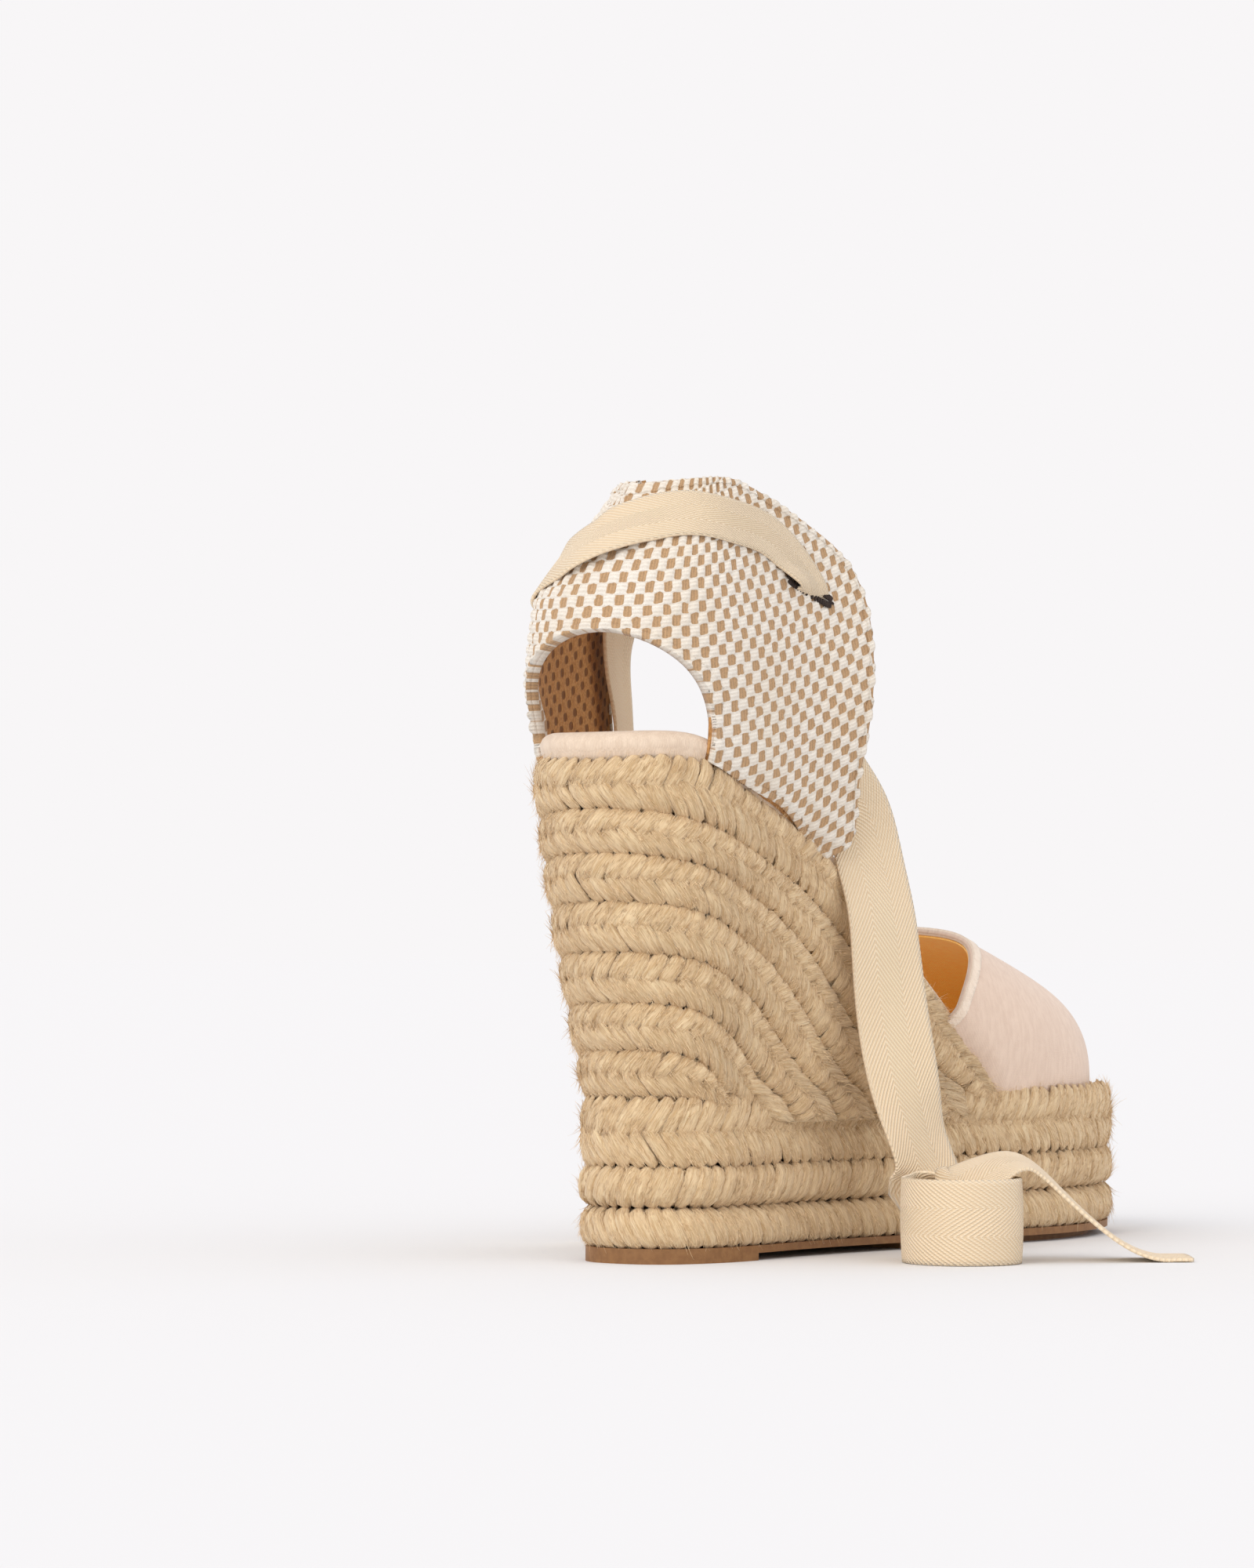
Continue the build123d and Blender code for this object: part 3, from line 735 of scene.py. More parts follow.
def row_bed(name, row, thick):
    """The body of a row under its strands, as a rounded strip."""
    count = max(24, int(row.length / 3))
    u = np.linspace(0, row.length, count + 1)
    angles = np.linspace(0, 2 * math.pi, 17)
    v = 0.95 * np.sign(np.cos(angles)) * np.abs(np.cos(angles)) ** 0.6
    h = -0.75 - thick / 2 + thick / 2 * np.sign(np.sin(angles)) * np.abs(np.sin(angles)) ** 0.6
    uu, vv = np.meshgrid(u, v, indexing="ij")
    hh = np.broadcast_to(h, uu.shape)
    fibre = np.stack([vv * 5, hh, uu], -1)
    return skin(name, row.at(uu, vv, hh), "fibre", fibre)


# How far the bights vary: in place, ends, lean, width, thickness and height.
UNEVEN_PLACE, UNEVEN_ENDS, UNEVEN_LEAN = 0.16, 0.03, 0.10
UNEVEN_WIDTH, UNEVEN_THICKNESS, UNEVEN_LIFT = 0.09, 0.08, 0.14
HAIR_LENGTH = (1.2, 4.2)
HAIR_RADIUS = (0.05, 0.09)


def strands(name, row, layers, pitch, rng, template):
    """The bights of a row. Each layer is (v0, v1, lean, half width, half thickness)."""
    made = []
    for v0, v1, lean, wide, thick in layers:
        count = int(row.length / pitch)
        mesh, shape = copies(name, template, count)
        u0 = (np.arange(count) + 0.5) * row.length / count + rng.normal(0, UNEVEN_PLACE, count)
        u0 = u0[:, None]
        ends = np.array([v0, v1]) + rng.normal(0, UNEVEN_ENDS, (count, 2))
        tilt = lean * (1 + rng.normal(0, UNEVEN_LEAN, (count, 1)))
        wide_here = wide * (1 + rng.normal(0, UNEVEN_WIDTH, (count, 1)))
        thick_here = thick * (1 + rng.normal(0, UNEVEN_THICKNESS, (count, 1)))
        lift = rng.normal(0, UNEVEN_LIFT, (count, 1))
        across, over, axis = (shape[None, :, k] for k in range(3))
        s = (axis + 1) / 2
        half = row.half_width(u0)
        first, reach = ends[:, :1], ends[:, 1:] - ends[:, :1]
        run = np.abs(reach) * half
        length = np.hypot(run, tilt)
        # A bight is blunt and flat: it keeps its width for most of its length.
        girth = np.sqrt(np.maximum(1 - axis ** 2, 1e-4))
        blunt = np.minimum((1 - np.abs(axis) ** 6) ** 0.5 / girth, 4)
        side = across * blunt * wide_here
        rise = np.sign(over) * np.abs(over * blunt) ** 0.8 * thick_here
        u = u0 + tilt * (s - 0.5) + side * run / length
        v = first + reach * s - np.sign(reach) * side * tilt / length / half
        # Its start dips under its neighbours.
        under = np.maximum(0, 0.40 - s) ** 2 * 6.0
        h = -0.6 + rise + lift + 0.30 * np.sin(np.minimum(s * 1.15, 1) * math.pi) - under
        set_coordinates(mesh, placed(row.at(u, v, h).reshape(-1, 3)))
        offset = rng.uniform(0, 200, (count, 3))
        fibre = np.stack([side, rise, s * length], -1) + offset[:, None, :]
        point_attribute(mesh, "fibre", fibre.reshape(-1, 3))
        made.append(mesh)
    return made


def hairs(name, row, layers, amount, rng, template):
    """Loose fibres: most lie along their strand, some stand away from it."""
    count = int(row.length * amount)
    mesh, shape = copies(name, template, count)
    layer = rng.integers(0, len(layers), count)
    v0, v1, lean = (np.array([l[k] for l in layers])[layer] for k in range(3))
    s = rng.uniform(0.02, 0.9, count)
    u = rng.uniform(0, row.length, count)
    v = v0 + (v1 - v0) * s
    base = row.at(u, v, rng.uniform(-0.15, 0.3, count))
    ahead_u, ahead_v = u + lean * 0.25, v + (v1 - v0) * 0.25
    flow = unit(row.at(ahead_u, ahead_v, np.full(count, 0.15)) - base)
    up = unit(row.pick(row.out, u))
    stand = np.abs(rng.normal(0.10, 0.16, count))[:, None]
    heading = unit(flow + up * stand + rng.normal(0, 0.16, (count, 3)))
    curl = rng.normal(0, 0.35, (count, 3)) + up * rng.normal(0.1, 0.25, count)[:, None]
    length = rng.uniform(*HAIR_LENGTH, count)[:, None, None]
    thick = rng.uniform(*HAIR_RADIUS, count)[:, None, None]
    side = unit(np.cross(heading, up + 0.01))
    over = np.cross(heading, side)
    x, y, z = (shape[None, :, k, None] for k in range(3))
    heading, curl, side, over = (a[:, None, :] for a in (heading, curl, side, over))
    taper = thick * (1 - 0.75 * z)
    points = base[:, None, :] + heading * length * z + curl * length * z ** 2 * 0.45
    points = points + side * x * taper + over * y * taper
    set_coordinates(mesh, placed(points.reshape(-1, 3)))
    return mesh


def jute_row(name, row, layers, pitch, seed, replaced, bed=5.0, amount=None):
    """Builds a whole row: its body, its bights and its loose fibres."""
    own = settings()
    rng = np.random.default_rng(seed)
    parts = [row_bed(name + "_bed", row, bed)]
    parts += strands(name, row, layers, pitch, rng, strand_shape())
    finish_piece(name, joined(name, parts), "jute", replaced)
    amount = own.fuzz if amount is None else amount
    fuzz = hairs(name + "_fibres", row, layers, amount, rng, hair_shape())
    finish_piece(name + "_fibres", fuzz, "jute_fibre")


# ------------------------------------------------------------------ cloth surfaces

COUNTER_WEIGHTS = smooth(COUNTER_KNOTS, np.eye(len(COUNTER_KNOTS)))
COUNTER_SHAPE = smooth(COUNTER_LEVELS[:, 0], COUNTER_LEVELS[:, 1:])
COUNTER_OUTLINE = closed_line(COUNTER_SIDE, 240)
ARCH_FOOT = [(24.5, 90), (-24.5, 90), OPENING_ARCH[0]]
ARCH_LINE = np.concatenate([open_line(OPENING_ARCH, 90), ARCH_FOOT])
FOOT_TUCK = 2.4
DIAGONAL = 0.71


def stand_off(base, t, s, h, inset, step):
    """Points h off the surface that base gives, squarely to its own slopes."""
    here = base(t, s, inset)
    normal = unit(np.cross(base(t + step, s, inset) - here, base(t, s + step, inset) - here))
    return here + normal * np.asarray(h)[..., None]


def counter_base(t, z, inset=0.0):
    """Points of the counter at distance t round it from the back, and height z."""
    back, near, middle, front = np.moveaxis(COUNTER_SHAPE(z), -1, 0)
    back = back + inset
    near, middle, front = near - inset, middle - inset, front - inset
    half = [front + 3, front, middle, near, near * DIAGONAL]
    x = np.stack([-a for a in half] + [back * 0] + half[::-1], -1)
    corner = 15 - (15 - back) * DIAGONAL
    flat = [back * 0 + a for a in (72, 57, 40, 15)]
    y = np.stack(flat + [corner, back, corner] + flat[::-1], -1)
    weights = COUNTER_WEIGHTS(t)
    # The inner wing leans in over the footbed above the opening.
    lean = 0.52 * np.maximum(z - 157, 0) * np.clip(-t / 20, 0, 1)
    x, y = (x * weights).sum(-1) + lean, (y * weights).sum(-1)
    tuck = np.clip((FOOT_LINE(y) + 7 - z) / 7, 0, 1.3) ** 2 * np.clip((y + 8) / 30, 0, 1)
    return np.stack([x - np.sign(x) * FOOT_TUCK * tuck, y, z], -1)


def counter_surface(t, z, h=0.0, inset=0.0):
    """Points h proud of the counter's outside."""
    return stand_off(counter_base, t, z, h, inset, 0.4)


def counter_outside(points):
    """How far points lie outside the counter's top line and opening, and below its foot."""
    x, y, z = points.T
    # The inner side has slumped: its top line is lower, and it is cut back lower down.
    inner = np.clip((-x - 3) / 14, 0, 1)
    slump = 4 * inner * np.clip((z - 165) / 12, 0, 1)
    back = 10 * inner * np.clip((152 - z) / 12, 0, 1) * np.clip((y - 25) / 15, 0, 1)
    side = signed_distance(y + back, z + slump, COUNTER_OUTLINE)
    hole = np.maximum(signed_distance(x, z, ARCH_LINE), y - OPENING_FRONT)
    return np.maximum(side, -hole), FOOT_LINE(y) - 1.6 - z


VAMP_KNOTS = (-70, -50, -32, 0, 32, 50, 70)
VAMP_WEIGHTS = smooth(VAMP_KNOTS, np.eye(len(VAMP_KNOTS)))
VAMP_RUN = along(VAMP_STATIONS[:, [0, 3]])
VAMP_SHAPE = smooth(VAMP_RUN, VAMP_STATIONS)
VAMP_TOP_LINE = open_line(VAMP_SIDE, 120)


def vamp_base(t, s, inset=0.0):
    """Points of the vamp at distance t across from its middle, and s along it to the toe."""
    y, middle, sole, wide, height = np.moveaxis(VAMP_SHAPE(s), -1, 0)
    cut = np.minimum(inset, height * 0.4)
    sole, wide, height = sole - cut, wide - cut, height - cut
    half = [(sole, sole * 0 - 6), (wide, height * 0.36), (wide * 0.80, height * 0.78)]
    x = np.stack([-a for a, b in half] + [height * 0] + [a for a, b in half[::-1]], -1)
    z = np.stack([b for a, b in half] + [height] + [b for a, b in half[::-1]], -1)
    weights = VAMP_WEIGHTS(t)
    x, z = (x * weights).sum(-1), PLATFORM_TOP + (z * weights).sum(-1)
    tuck = np.clip((FOOT_LINE(np.minimum(y, 123)) + 3 - z) / 7, 0, 1.2) ** 2
    tuck = tuck * np.clip((126 - y) / 10, 0, 1)
    return np.stack([x - np.sign(x) * 2.6 * tuck + middle, y, z], -1)


def vamp_surface(t, s, h=0.0, inset=0.0):
    """Points h proud of the vamp's outside."""
    return stand_off(vamp_base, t, s, -np.asarray(h), inset, 0.3)


def vamp_outside(points):
    """How far points lie behind the vamp's top line, and below its foot."""
    y, z = points[:, 1], points[:, 2]
    line = VAMP_TOP_LINE
    best, sign = np.full(len(y), np.inf), np.ones(len(y))
    for (y0, z0), (y1, z1) in zip(line[:-1], line[1:]):
        dy, dz = y1 - y0, z1 - z0
        t = np.clip(((y - y0) * dy + (z - z0) * dz) / (dy * dy + dz * dz), 0, 1)
        far = np.hypot(y - y0 - t * dy, z - z0 - t * dz)
        side = (z - z0) * dy - (y - y0) * dz
        sign = np.where(far < best, np.sign(side), sign)
        best = np.minimum(best, far)
    foot = np.maximum(FOOT_LINE(np.minimum(y, 128)) - 5, PLATFORM_TOP - 2) - z
    return best * sign, foot


def trimmed_sheet(name, surface, spread, rise, outside, thick, h=0.0, inset=0.0, cloth=None,
                  relief=None):
    """A closed sheet over a surface, cut off where outside is positive, with a clean edge.

    spread and rise are (first, last, steps) for the surface's two parameters."""
    mesh, column, row = grid_mesh(name, spread[2], rise[2])
    t = spread[0] + (spread[1] - spread[0]) * column / spread[2]
    s = rise[0] + (rise[1] - rise[0]) * row / rise[2]
    beyond = outside(surface(t, s, 0.0, inset))
    bm = bmesh.new()
    bm.from_mesh(mesh)
    tag = bm.verts.layers.int.new("place")
    for number, v in enumerate(bm.verts):
        v[tag] = number
    gone = [f for f in bm.faces if all(beyond[v[tag]] > 0 for v in f.verts)]
    bmesh.ops.delete(bm, geom=gone, context="FACES")
    kept = np.array([v[tag] for v in bm.verts])
    edge = kept[beyond[kept] > 0]
    # The rim's points slide along the surface until they stand on the cut, in short strides
    # and never much further than one cell of the grid.
    start, probe, stride = np.stack([t[edge], s[edge]]), 0.05, 0.5
    reach = 1.3 * np.hypot((spread[1] - spread[0]) / spread[2], (rise[1] - rise[0]) / rise[2])
    at = start.copy()
    for _ in range(10):
        here, right, up = (outside(surface(at[0] + a, at[1] + b, 0.0, inset))
                           for a, b in ((0, 0), (probe, 0), (0, probe)))
        slope = (np.stack([right, up]) - here) / probe
        move = slope * here / np.maximum((slope ** 2).sum(0), 0.05)
        move *= np.minimum(1, stride / np.maximum(np.hypot(*move), 1e-9))
        slid = at - move - start
        at = start + slid * np.minimum(1, reach / np.maximum(np.hypot(*slid), 1e-9))
    t[edge], s[edge] = at
    rise_by = t * 0 + (h if relief is None else h + relief(t, s))
    outside_at = placed(surface(t, s, rise_by, inset))
    inside_at = placed(surface(t, s, t * 0 + h - thick, inset))
    for v in bm.verts:
        v.co = outside_at[v[tag]]
    outer = set(bm.verts)
    bmesh.ops.extrude_face_region(bm, geom=list(bm.faces), use_keep_orig=True)
    for v in set(bm.verts) - outer:
        v.co = inside_at[v[tag]]
    bmesh.ops.recalc_face_normals(bm, faces=bm.faces)
    order = [v[tag] for v in bm.verts]
    bm.verts.layers.int.remove(tag)
    bm.to_mesh(mesh)
    bm.free()
    pattern = np.stack([t, s, t * 0], -1) if cloth is None else cloth(t, s)
    point_attribute(mesh, "cloth", pattern[order])
    return mesh


def sheet_piece(name, surface, spread, rise, outside, thick, look, slot, replaced, **more):
    mesh = trimmed_sheet(name, surface, spread, rise, outside, thick, **more)
    finish_piece(name, mesh, look, replaced)


def counter_cloth(t, z):
    """The cloth's own threads: level at the back, and climbing along the wings."""
    reach = np.maximum(np.abs(t) - 10, 0)
    across = np.sign(t) * (np.abs(t) + 0.0036 * reach * (z - 125))
    return np.stack([across, z - 0.0031 * reach ** 2, t * 0], -1)


def weave_relief(t, z):
    """Height of the check weave: puffed pale bundles and sunken tan ones."""
    cell = settings().check_cell
    uv = counter_cloth(t, z)
    a, b = np.sin(uv[..., 0] * math.pi / cell), np.sin(uv[..., 1] * math.pi / cell)
    wave = a * np.clip(b * 2.2, -1, 1) + 0.2
    return np.where(wave > 0, 0.62 * np.maximum(wave, 0) ** 0.6 * np.abs(b) ** 0.35, -0.12)


# ------------------------------------------------------------------ ribbon


def ribbon_stations():
    """The whole ribbon from the end of the left tail to the end of the right one."""
    drop = [((-x, y, z), (-a, b, c), half) for (x, y, z), (a, b, c), half in RIBBON_RIGHT]
    left = drop + RIBBON_LEFT_FLOOR
    aside, ahead = (np.array(axis[:2]) for axis in view_axes())
    curl = [((*(VIEW_ANCHOR + u * aside + w * ahead), z), across, RIBBON_HALF)
            for u, w, z, across in RIBBON_CURL]
    return left, RIBBON_RIGHT + curl, np.array(BAND_LOWER, float), np.array(BAND_UPPER, float)


def ribbon_lines():
    """Middle line, across direction and half width along the ribbon."""
    left, right, lower, upper = ribbon_stations()
    band = list(zip((lower + upper) / 2, upper - lower, np.linalg.norm(upper - lower, axis=1) / 2))
    stations = left[::-1] + band + right
    middle = np.array([place for place, across, half in stations], float)
    across = unit(np.array([across for place, across, half in stations], float))
    half = np.array([half for place, across, half in stations])
    # The tape never turns over between two stations.
    for i in range(1, len(across)):
        if across[i] @ across[i - 1] < 0:
            across[i] = -across[i]
    return middle, across, half


def lay_on_counter(points, weight):
    """Moves the band's points out to lie on the counter, as far as their weight says."""
    out = points.copy()
    t = np.linspace(-75, 75, 301)
    for i in np.flatnonzero(weight > 0):
        for j in range(points.shape[1]):
            p = points[i, j]
            level = np.full(len(t), min(p[2], 186.0))
            far = np.linalg.norm((counter_base(t, level) - p)[:, :2], axis=1)
            here = t[np.argmin(far)][None]
            base = counter_surface(here, level[:1], np.zeros(1))[0]
            normal = counter_surface(here, level[:1], np.ones(1))[0] - base
            proud = (p - base) @ normal
            out[i, j] = p + normal * max(1.0 - proud, 0) * min(1.0, weight[i] * 1.6)
    return out


def ribbon_mesh():
    middle, across, half = ribbon_lines()
    far = along(middle)
    count = int(far[-1] / 1.6)
    u = np.linspace(0, far[-1], count)
    line = smooth(far, middle)(u)
    line[:, 2] = np.maximum(line[:, 2], 0.6)
    side = unit(smooth(far, across)(u))
    forward = unit(np.gradient(line, axis=0))
    start = far[len(RIBBON_RIGHT) + len(RIBBON_LEFT_FLOOR)]
    end = far[-1 - len(RIBBON_CURL) - len(RIBBON_RIGHT)]
    on_band = np.clip((u - start) / 5, 0, 1) * np.clip((end - u) / 5, 0, 1)
    free = np.maximum(np.clip((start - u) / 25, 0, 1), np.clip((u - end) / 25, 0, 1))[:, None]
    side = unit(side - free * forward * (side * forward).sum(1, keepdims=True))
    width = np.clip(smooth(far, half)(u), 5.5, RIBBON_HALF)
    v = np.linspace(-1, 1, 15)
    normal = np.cross(forward, side)
    cup = (1 - v ** 2)[None, :, None] * 0.35
    points = line[:, None] + side[:, None] * (v[None, :, None] * width[:, None, None])
    points = points + normal[:, None] * cup
    points = lay_on_counter(points, on_band)
    lengthways, sideways = np.meshgrid(along(line), v * RIBBON_HALF, indexing="ij")
    cloth = np.stack([lengthways, sideways, 0 * sideways], -1)
    return skin("ribbon", points, "cloth", cloth, fill=False), along(line)[-1]


# ------------------------------------------------------------------ operators


def colour_setting(name, description, default):
    return FloatVectorProperty(name=name, description=description, default=default,
                               size=3, min=0, max=1, subtype="COLOR")


class SandalSettings(bpy.types.PropertyGroup):
    jute_light: colour_setting(
        "Jute, light", "Colour of the paler jute fibres", (0.87, 0.665, 0.415))
    jute_dark: colour_setting(
        "Jute, dark", "Colour of the browner jute fibres", (0.66, 0.45, 0.235))
    fuzz: FloatProperty(
        name="Fuzz", description="Loose fibres to each millimetre of a row",
        default=12.0, min=0, max=20)
    check_cell: FloatProperty(
        name="Check size", description="Side of one cell of the check canvas, in millimetres",
        default=2.75, min=1, max=10)
    check_white: colour_setting(
        "Check, white", "Colour of the raised bundles", (0.90, 0.85, 0.77))
    check_tan: colour_setting(
        "Check, tan", "Colour of the recessed bundles", (0.52, 0.33, 0.18))
    ribbon_colour: colour_setting(
        "Ribbon", "Colour of the ribbon", (0.92, 0.77, 0.567))
    ribbon_thickness: FloatProperty(
        name="Ribbon thickness", description="Thickness of the ribbon",
        default=0.0008, min=0.0003, max=0.002, unit="LENGTH")
    stitch_count: IntProperty(
        name="Stitch count", description="Stitches round each buttonhole",
        default=46, min=12, max=80)


class SANDAL_OT_materials(bpy.types.Operator):
    """Make the materials and give them to the CAD nodes that stay"""
    bl_idname = "sandal.materials"
    bl_label = "Materials"

    def execute(self, context):
        jute_material()
        hair_material()
        check_material()
        reverse_material()
        ribbon_material()
        canvas_material("vamp_canvas", (0.81, 0.64, 0.52), (0.73, 0.56, 0.45), 0.36, 0.05)
        canvas_material("footbed_canvas", (0.82, 0.67, 0.53), (0.72, 0.57, 0.44))
        # The lining glows faintly: painted light, standing in for the light that falls into the
        # vamp and shines through its cloth.
        canvas_material("tan_lining", (0.98, 0.64, 0.24), (0.90, 0.54, 0.17), 0.6, 0.16,
                        Emission_Color=(1.0, 0.42, 0.04, 1), Emission_Strength=0.15)
        canvas_material("binding_tape", (0.92, 0.78, 0.65), (0.83, 0.68, 0.55), 0.5, 0.08)
        plain_material("dark_thread", (0.045, 0.026, 0.018), (0.018, 0.010, 0.008), 1600)
        plain_material("seam_thread", (0.80, 0.66, 0.50), (0.62, 0.48, 0.34), 2200)
        rubber = plain_material("sole_rubber", (0.30, 0.145, 0.05), (0.22, 0.10, 0.032), 500,
                                0.12, 0.62)
        core = plain_material("core", (0.30, 0.19, 0.09), (0.22, 0.13, 0.06), 300)
        board = plain_material("board", (0.36, 0.26, 0.16), (0.28, 0.19, 0.11), 300)
        stays = {"outsole": rubber, "platform_core": core, "wedge_core": core,
                 "insole_board": board}
        for node, material in stays.items():
            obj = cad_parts[node]
            obj.data.materials.clear()
            obj.data.materials.append(material)
        return {"FINISHED"}


BRAID = [(-0.30, 1.10, 6.2, 2.15, 0.50), (0.30, -1.10, 6.2, 2.15, 0.50)]
WIDE_BRAID = [(-0.22, 1.06, 6.8, 2.2, 0.58), (0.22, -1.06, 7.8, 2.2, 0.58)]
ROPE_UP = [(-1.08, 1.08, 4.6, 2.25, 0.75)]
ROPE_DOWN = [(1.08, -1.08, 5.4, 2.35, 0.75)]


class SANDAL_OT_platform(bpy.types.Operator):
    """Build the ropes and the wide braid round the platform"""
    bl_idname = "sandal.platform"
    bl_label = "Platform rows"

    def execute(self, context):
        jute_row("rope_lower", platform_row(OUTSOLE_TOP, ROPE_SPLIT, 1.7), ROPE_DOWN, 4.1, 1,
                 ["sole_rope_lower"], 6.0, 10.0)
        jute_row("rope_upper", platform_row(ROPE_SPLIT, ROPE_TOP, 1.7), ROPE_UP, 3.9, 2,
                 ["sole_rope_upper"], 6.0, 10.0)
        jute_row("platform_braid", platform_row(ROPE_TOP, PLATFORM_TOP, 1.1), WIDE_BRAID, 4.1, 3,
                 ["platform_braid_lower", "platform_braid_upper"], 6.5, 13.0)
        return {"FINISHED"}


class SANDAL_OT_wedge(bpy.types.Operator):
    """Build the seven braids wrapped round the wedge"""
    bl_idname = "sandal.wedge"
    bl_label = "Wedge braids"

    def execute(self, context):
        for number in range(7):
            jute_row(f"wedge_row_{number + 1}", wedge_row(number), BRAID, 4.1, 10 + number,
                     [f"wedge_braid_{number + 1}"])
        return {"FINISHED"}


class SANDAL_OT_footbed(bpy.types.Operator):
    """Build the padded footbed cover with its raised rim"""
    bl_idname = "sandal.footbed"
    bl_label = "Footbed"

    def execute(self, context):
        edge = closed_line(FOOTBED_OUTLINE, 180)
        bm = bmesh.new()
        bmesh.ops.create_circle(bm, segments=len(edge) - 1, radius=1)
        ring = sorted(bm.verts, key=lambda v: math.atan2(v.co.y, v.co.x) % (2 * math.pi))
        start = int(np.argmin(np.abs(np.arctan2(edge[:-1, 1] - 90, edge[:-1, 0]))))
        for v, (x, y) in zip(ring, np.roll(edge[:-1], -start, axis=0)):
            v.co = (x, y, RIM_FOOT)
        face = bm.faces.new(ring)
        bmesh.ops.recalc_face_normals(bm, faces=[face])
        if face.normal.z < 0:
            bmesh.ops.reverse_faces(bm, faces=[face])
        top = [face]
        for step, (inset, rise) in enumerate(RIM_PROFILE):
            out = bmesh.ops.extrude_face_region(bm, geom=top, use_keep_orig=True)["geom"]
            if step:
                bmesh.ops.delete(bm, geom=top, context="FACES_ONLY")
            top = [g for g in out if isinstance(g, bmesh.types.BMFace)]
            verts = list({v for f in top for v in f.verts})
            for v in verts:
                v.co.z = rise
            move_in(verts, inset)
        # Cut across, so that the cover can follow the slope of the wedge.
        for y in range(-8, 200, 4):
            bmesh.ops.bisect_plane(bm, geom=bm.verts[:] + bm.edges[:] + bm.faces[:], dist=1e-4,
                                   plane_co=(0, y, 0), plane_no=(0, 1, 0))
        x, y, rise = np.array([v.co[:] for v in bm.verts]).T
        deep = -signed_distance(x, y, edge)
        # Along the waist the rim is low and the cover swells a little inside it.
        waist = np.clip((y - 14) / 40, 0, 1) * np.clip((118 - y) / 12, 0, 1)
        swell = WAIST_SWELL * waist * np.clip((deep - 3) / 8, 0, 1)
        lowered = np.where(rise > 0, rise * (1 - WAIST_DROP * waist) + swell, rise)
        under = np.where(y > ROW_ENDS[0] + 4, PLATFORM_TOP, np.maximum(FOOT_LINE(y), PLATFORM_TOP))
        for v, height in zip(bm.verts, under + lowered):
            v.co.z = height
        bmesh.ops.remove_doubles(bm, verts=bm.verts, dist=1e-4)
        bmesh.ops.triangulate(bm, faces=[f for f in bm.faces if len(f.verts) > 4])
        for v in bm.verts:
            v.co = Vector(placed(v.co))
        bmesh.ops.recalc_face_normals(bm, faces=bm.faces)
        mesh = mesh_of("footbed", bm)
        point_attribute(mesh, "cloth", (coordinates(mesh) - ORIGIN) / MM)
        piece = finish_piece("footbed", mesh, "footbed_canvas",
                             ["insole_cover", "heel_foam_pad"])
        return {"FINISHED"}


def move_in(verts, distance):
    """Moves points inwards: to the shoe's middle line, or to a centre at its heel or toe."""
    for v in verts:
        toward = Vector((-v.co.x, 0, 0))
        if v.co.y < HEEL_CENTRE:
            toward.y = HEEL_CENTRE - v.co.y
        elif v.co.y > TOE_CENTRE:
            toward.x, toward.y = -2 - v.co.x, TOE_CENTRE - v.co.y
        if toward.length > distance:
            v.co += toward.normalized() * distance


class SANDAL_OT_counter(bpy.types.Operator):
    """Build the heel counter: check canvas, lining and turned hems"""
    bl_idname = "sandal.counter"
    bl_label = "Heel counter"

    def execute(self, context):
        spread, rise = (-104, 104, 340), (93, 187, 152)

        def whole(points):
            return np.maximum(*counter_outside(points))

        def hem(points):
            edge, foot = counter_outside(points)
            return np.maximum(np.maximum(edge, -edge - HEM_WIDTH), foot)

        sheet_piece("counter", counter_surface, spread, rise, whole, 1.0, "check_canvas",
                    "check_canvas", ["counter_outer"], cloth=counter_cloth, relief=weave_relief)
        sheet_piece("counter_lining_cloth", counter_surface, (*spread[:2], 210), (*rise[:2], 95),
                    whole, 0.8, "check_reverse", "tan_lining", ["counter_lining"],
                    inset=1.5, cloth=counter_cloth)
        sheet_piece("counter_hem", counter_surface, spread, rise, hem, 2.9, "check_canvas",
                    "check_canvas", ["counter_top_hem", "counter_opening_hem"],
                    h=0.3, cloth=counter_cloth, relief=weave_relief)
        return {"FINISHED"}


class SANDAL_OT_vamp(bpy.types.Operator):
    """Build the vamp: canvas, lining and bound top line"""
    bl_idname = "sandal.vamp"
    bl_label = "Vamp"

    def execute(self, context):
        spread, rise = (-70, 70, 130), (0, VAMP_RUN[-1], 150)

        def whole(points):
            return np.maximum(*vamp_outside(points))

        def inner(points):
            top, foot = vamp_outside(points)
            return np.maximum(top + 1.0, foot + 2.5)

        def edge(points):
            top, foot = vamp_outside(points)
            return np.maximum(np.maximum(top, -top - BINDING_WIDTH), foot)

        sheet_piece("vamp", vamp_surface, spread, rise, whole, 1.1, "vamp_canvas",
                    "vamp_canvas", ["vamp_outer"])
        sheet_piece("vamp_lining_cloth", vamp_surface, spread, rise, inner, 0.5, "tan_lining",
                    "tan_lining", ["vamp_lining"], inset=0.9)
        finish_piece("vamp_stitches", vamp_stitches(), "seam_thread")
        sheet_piece("vamp_edge", vamp_surface, spread, rise, edge, 2.0, "binding_tape",
                    "vamp_binding_tape", ["vamp_binding"], h=0.35)
        return {"FINISHED"}


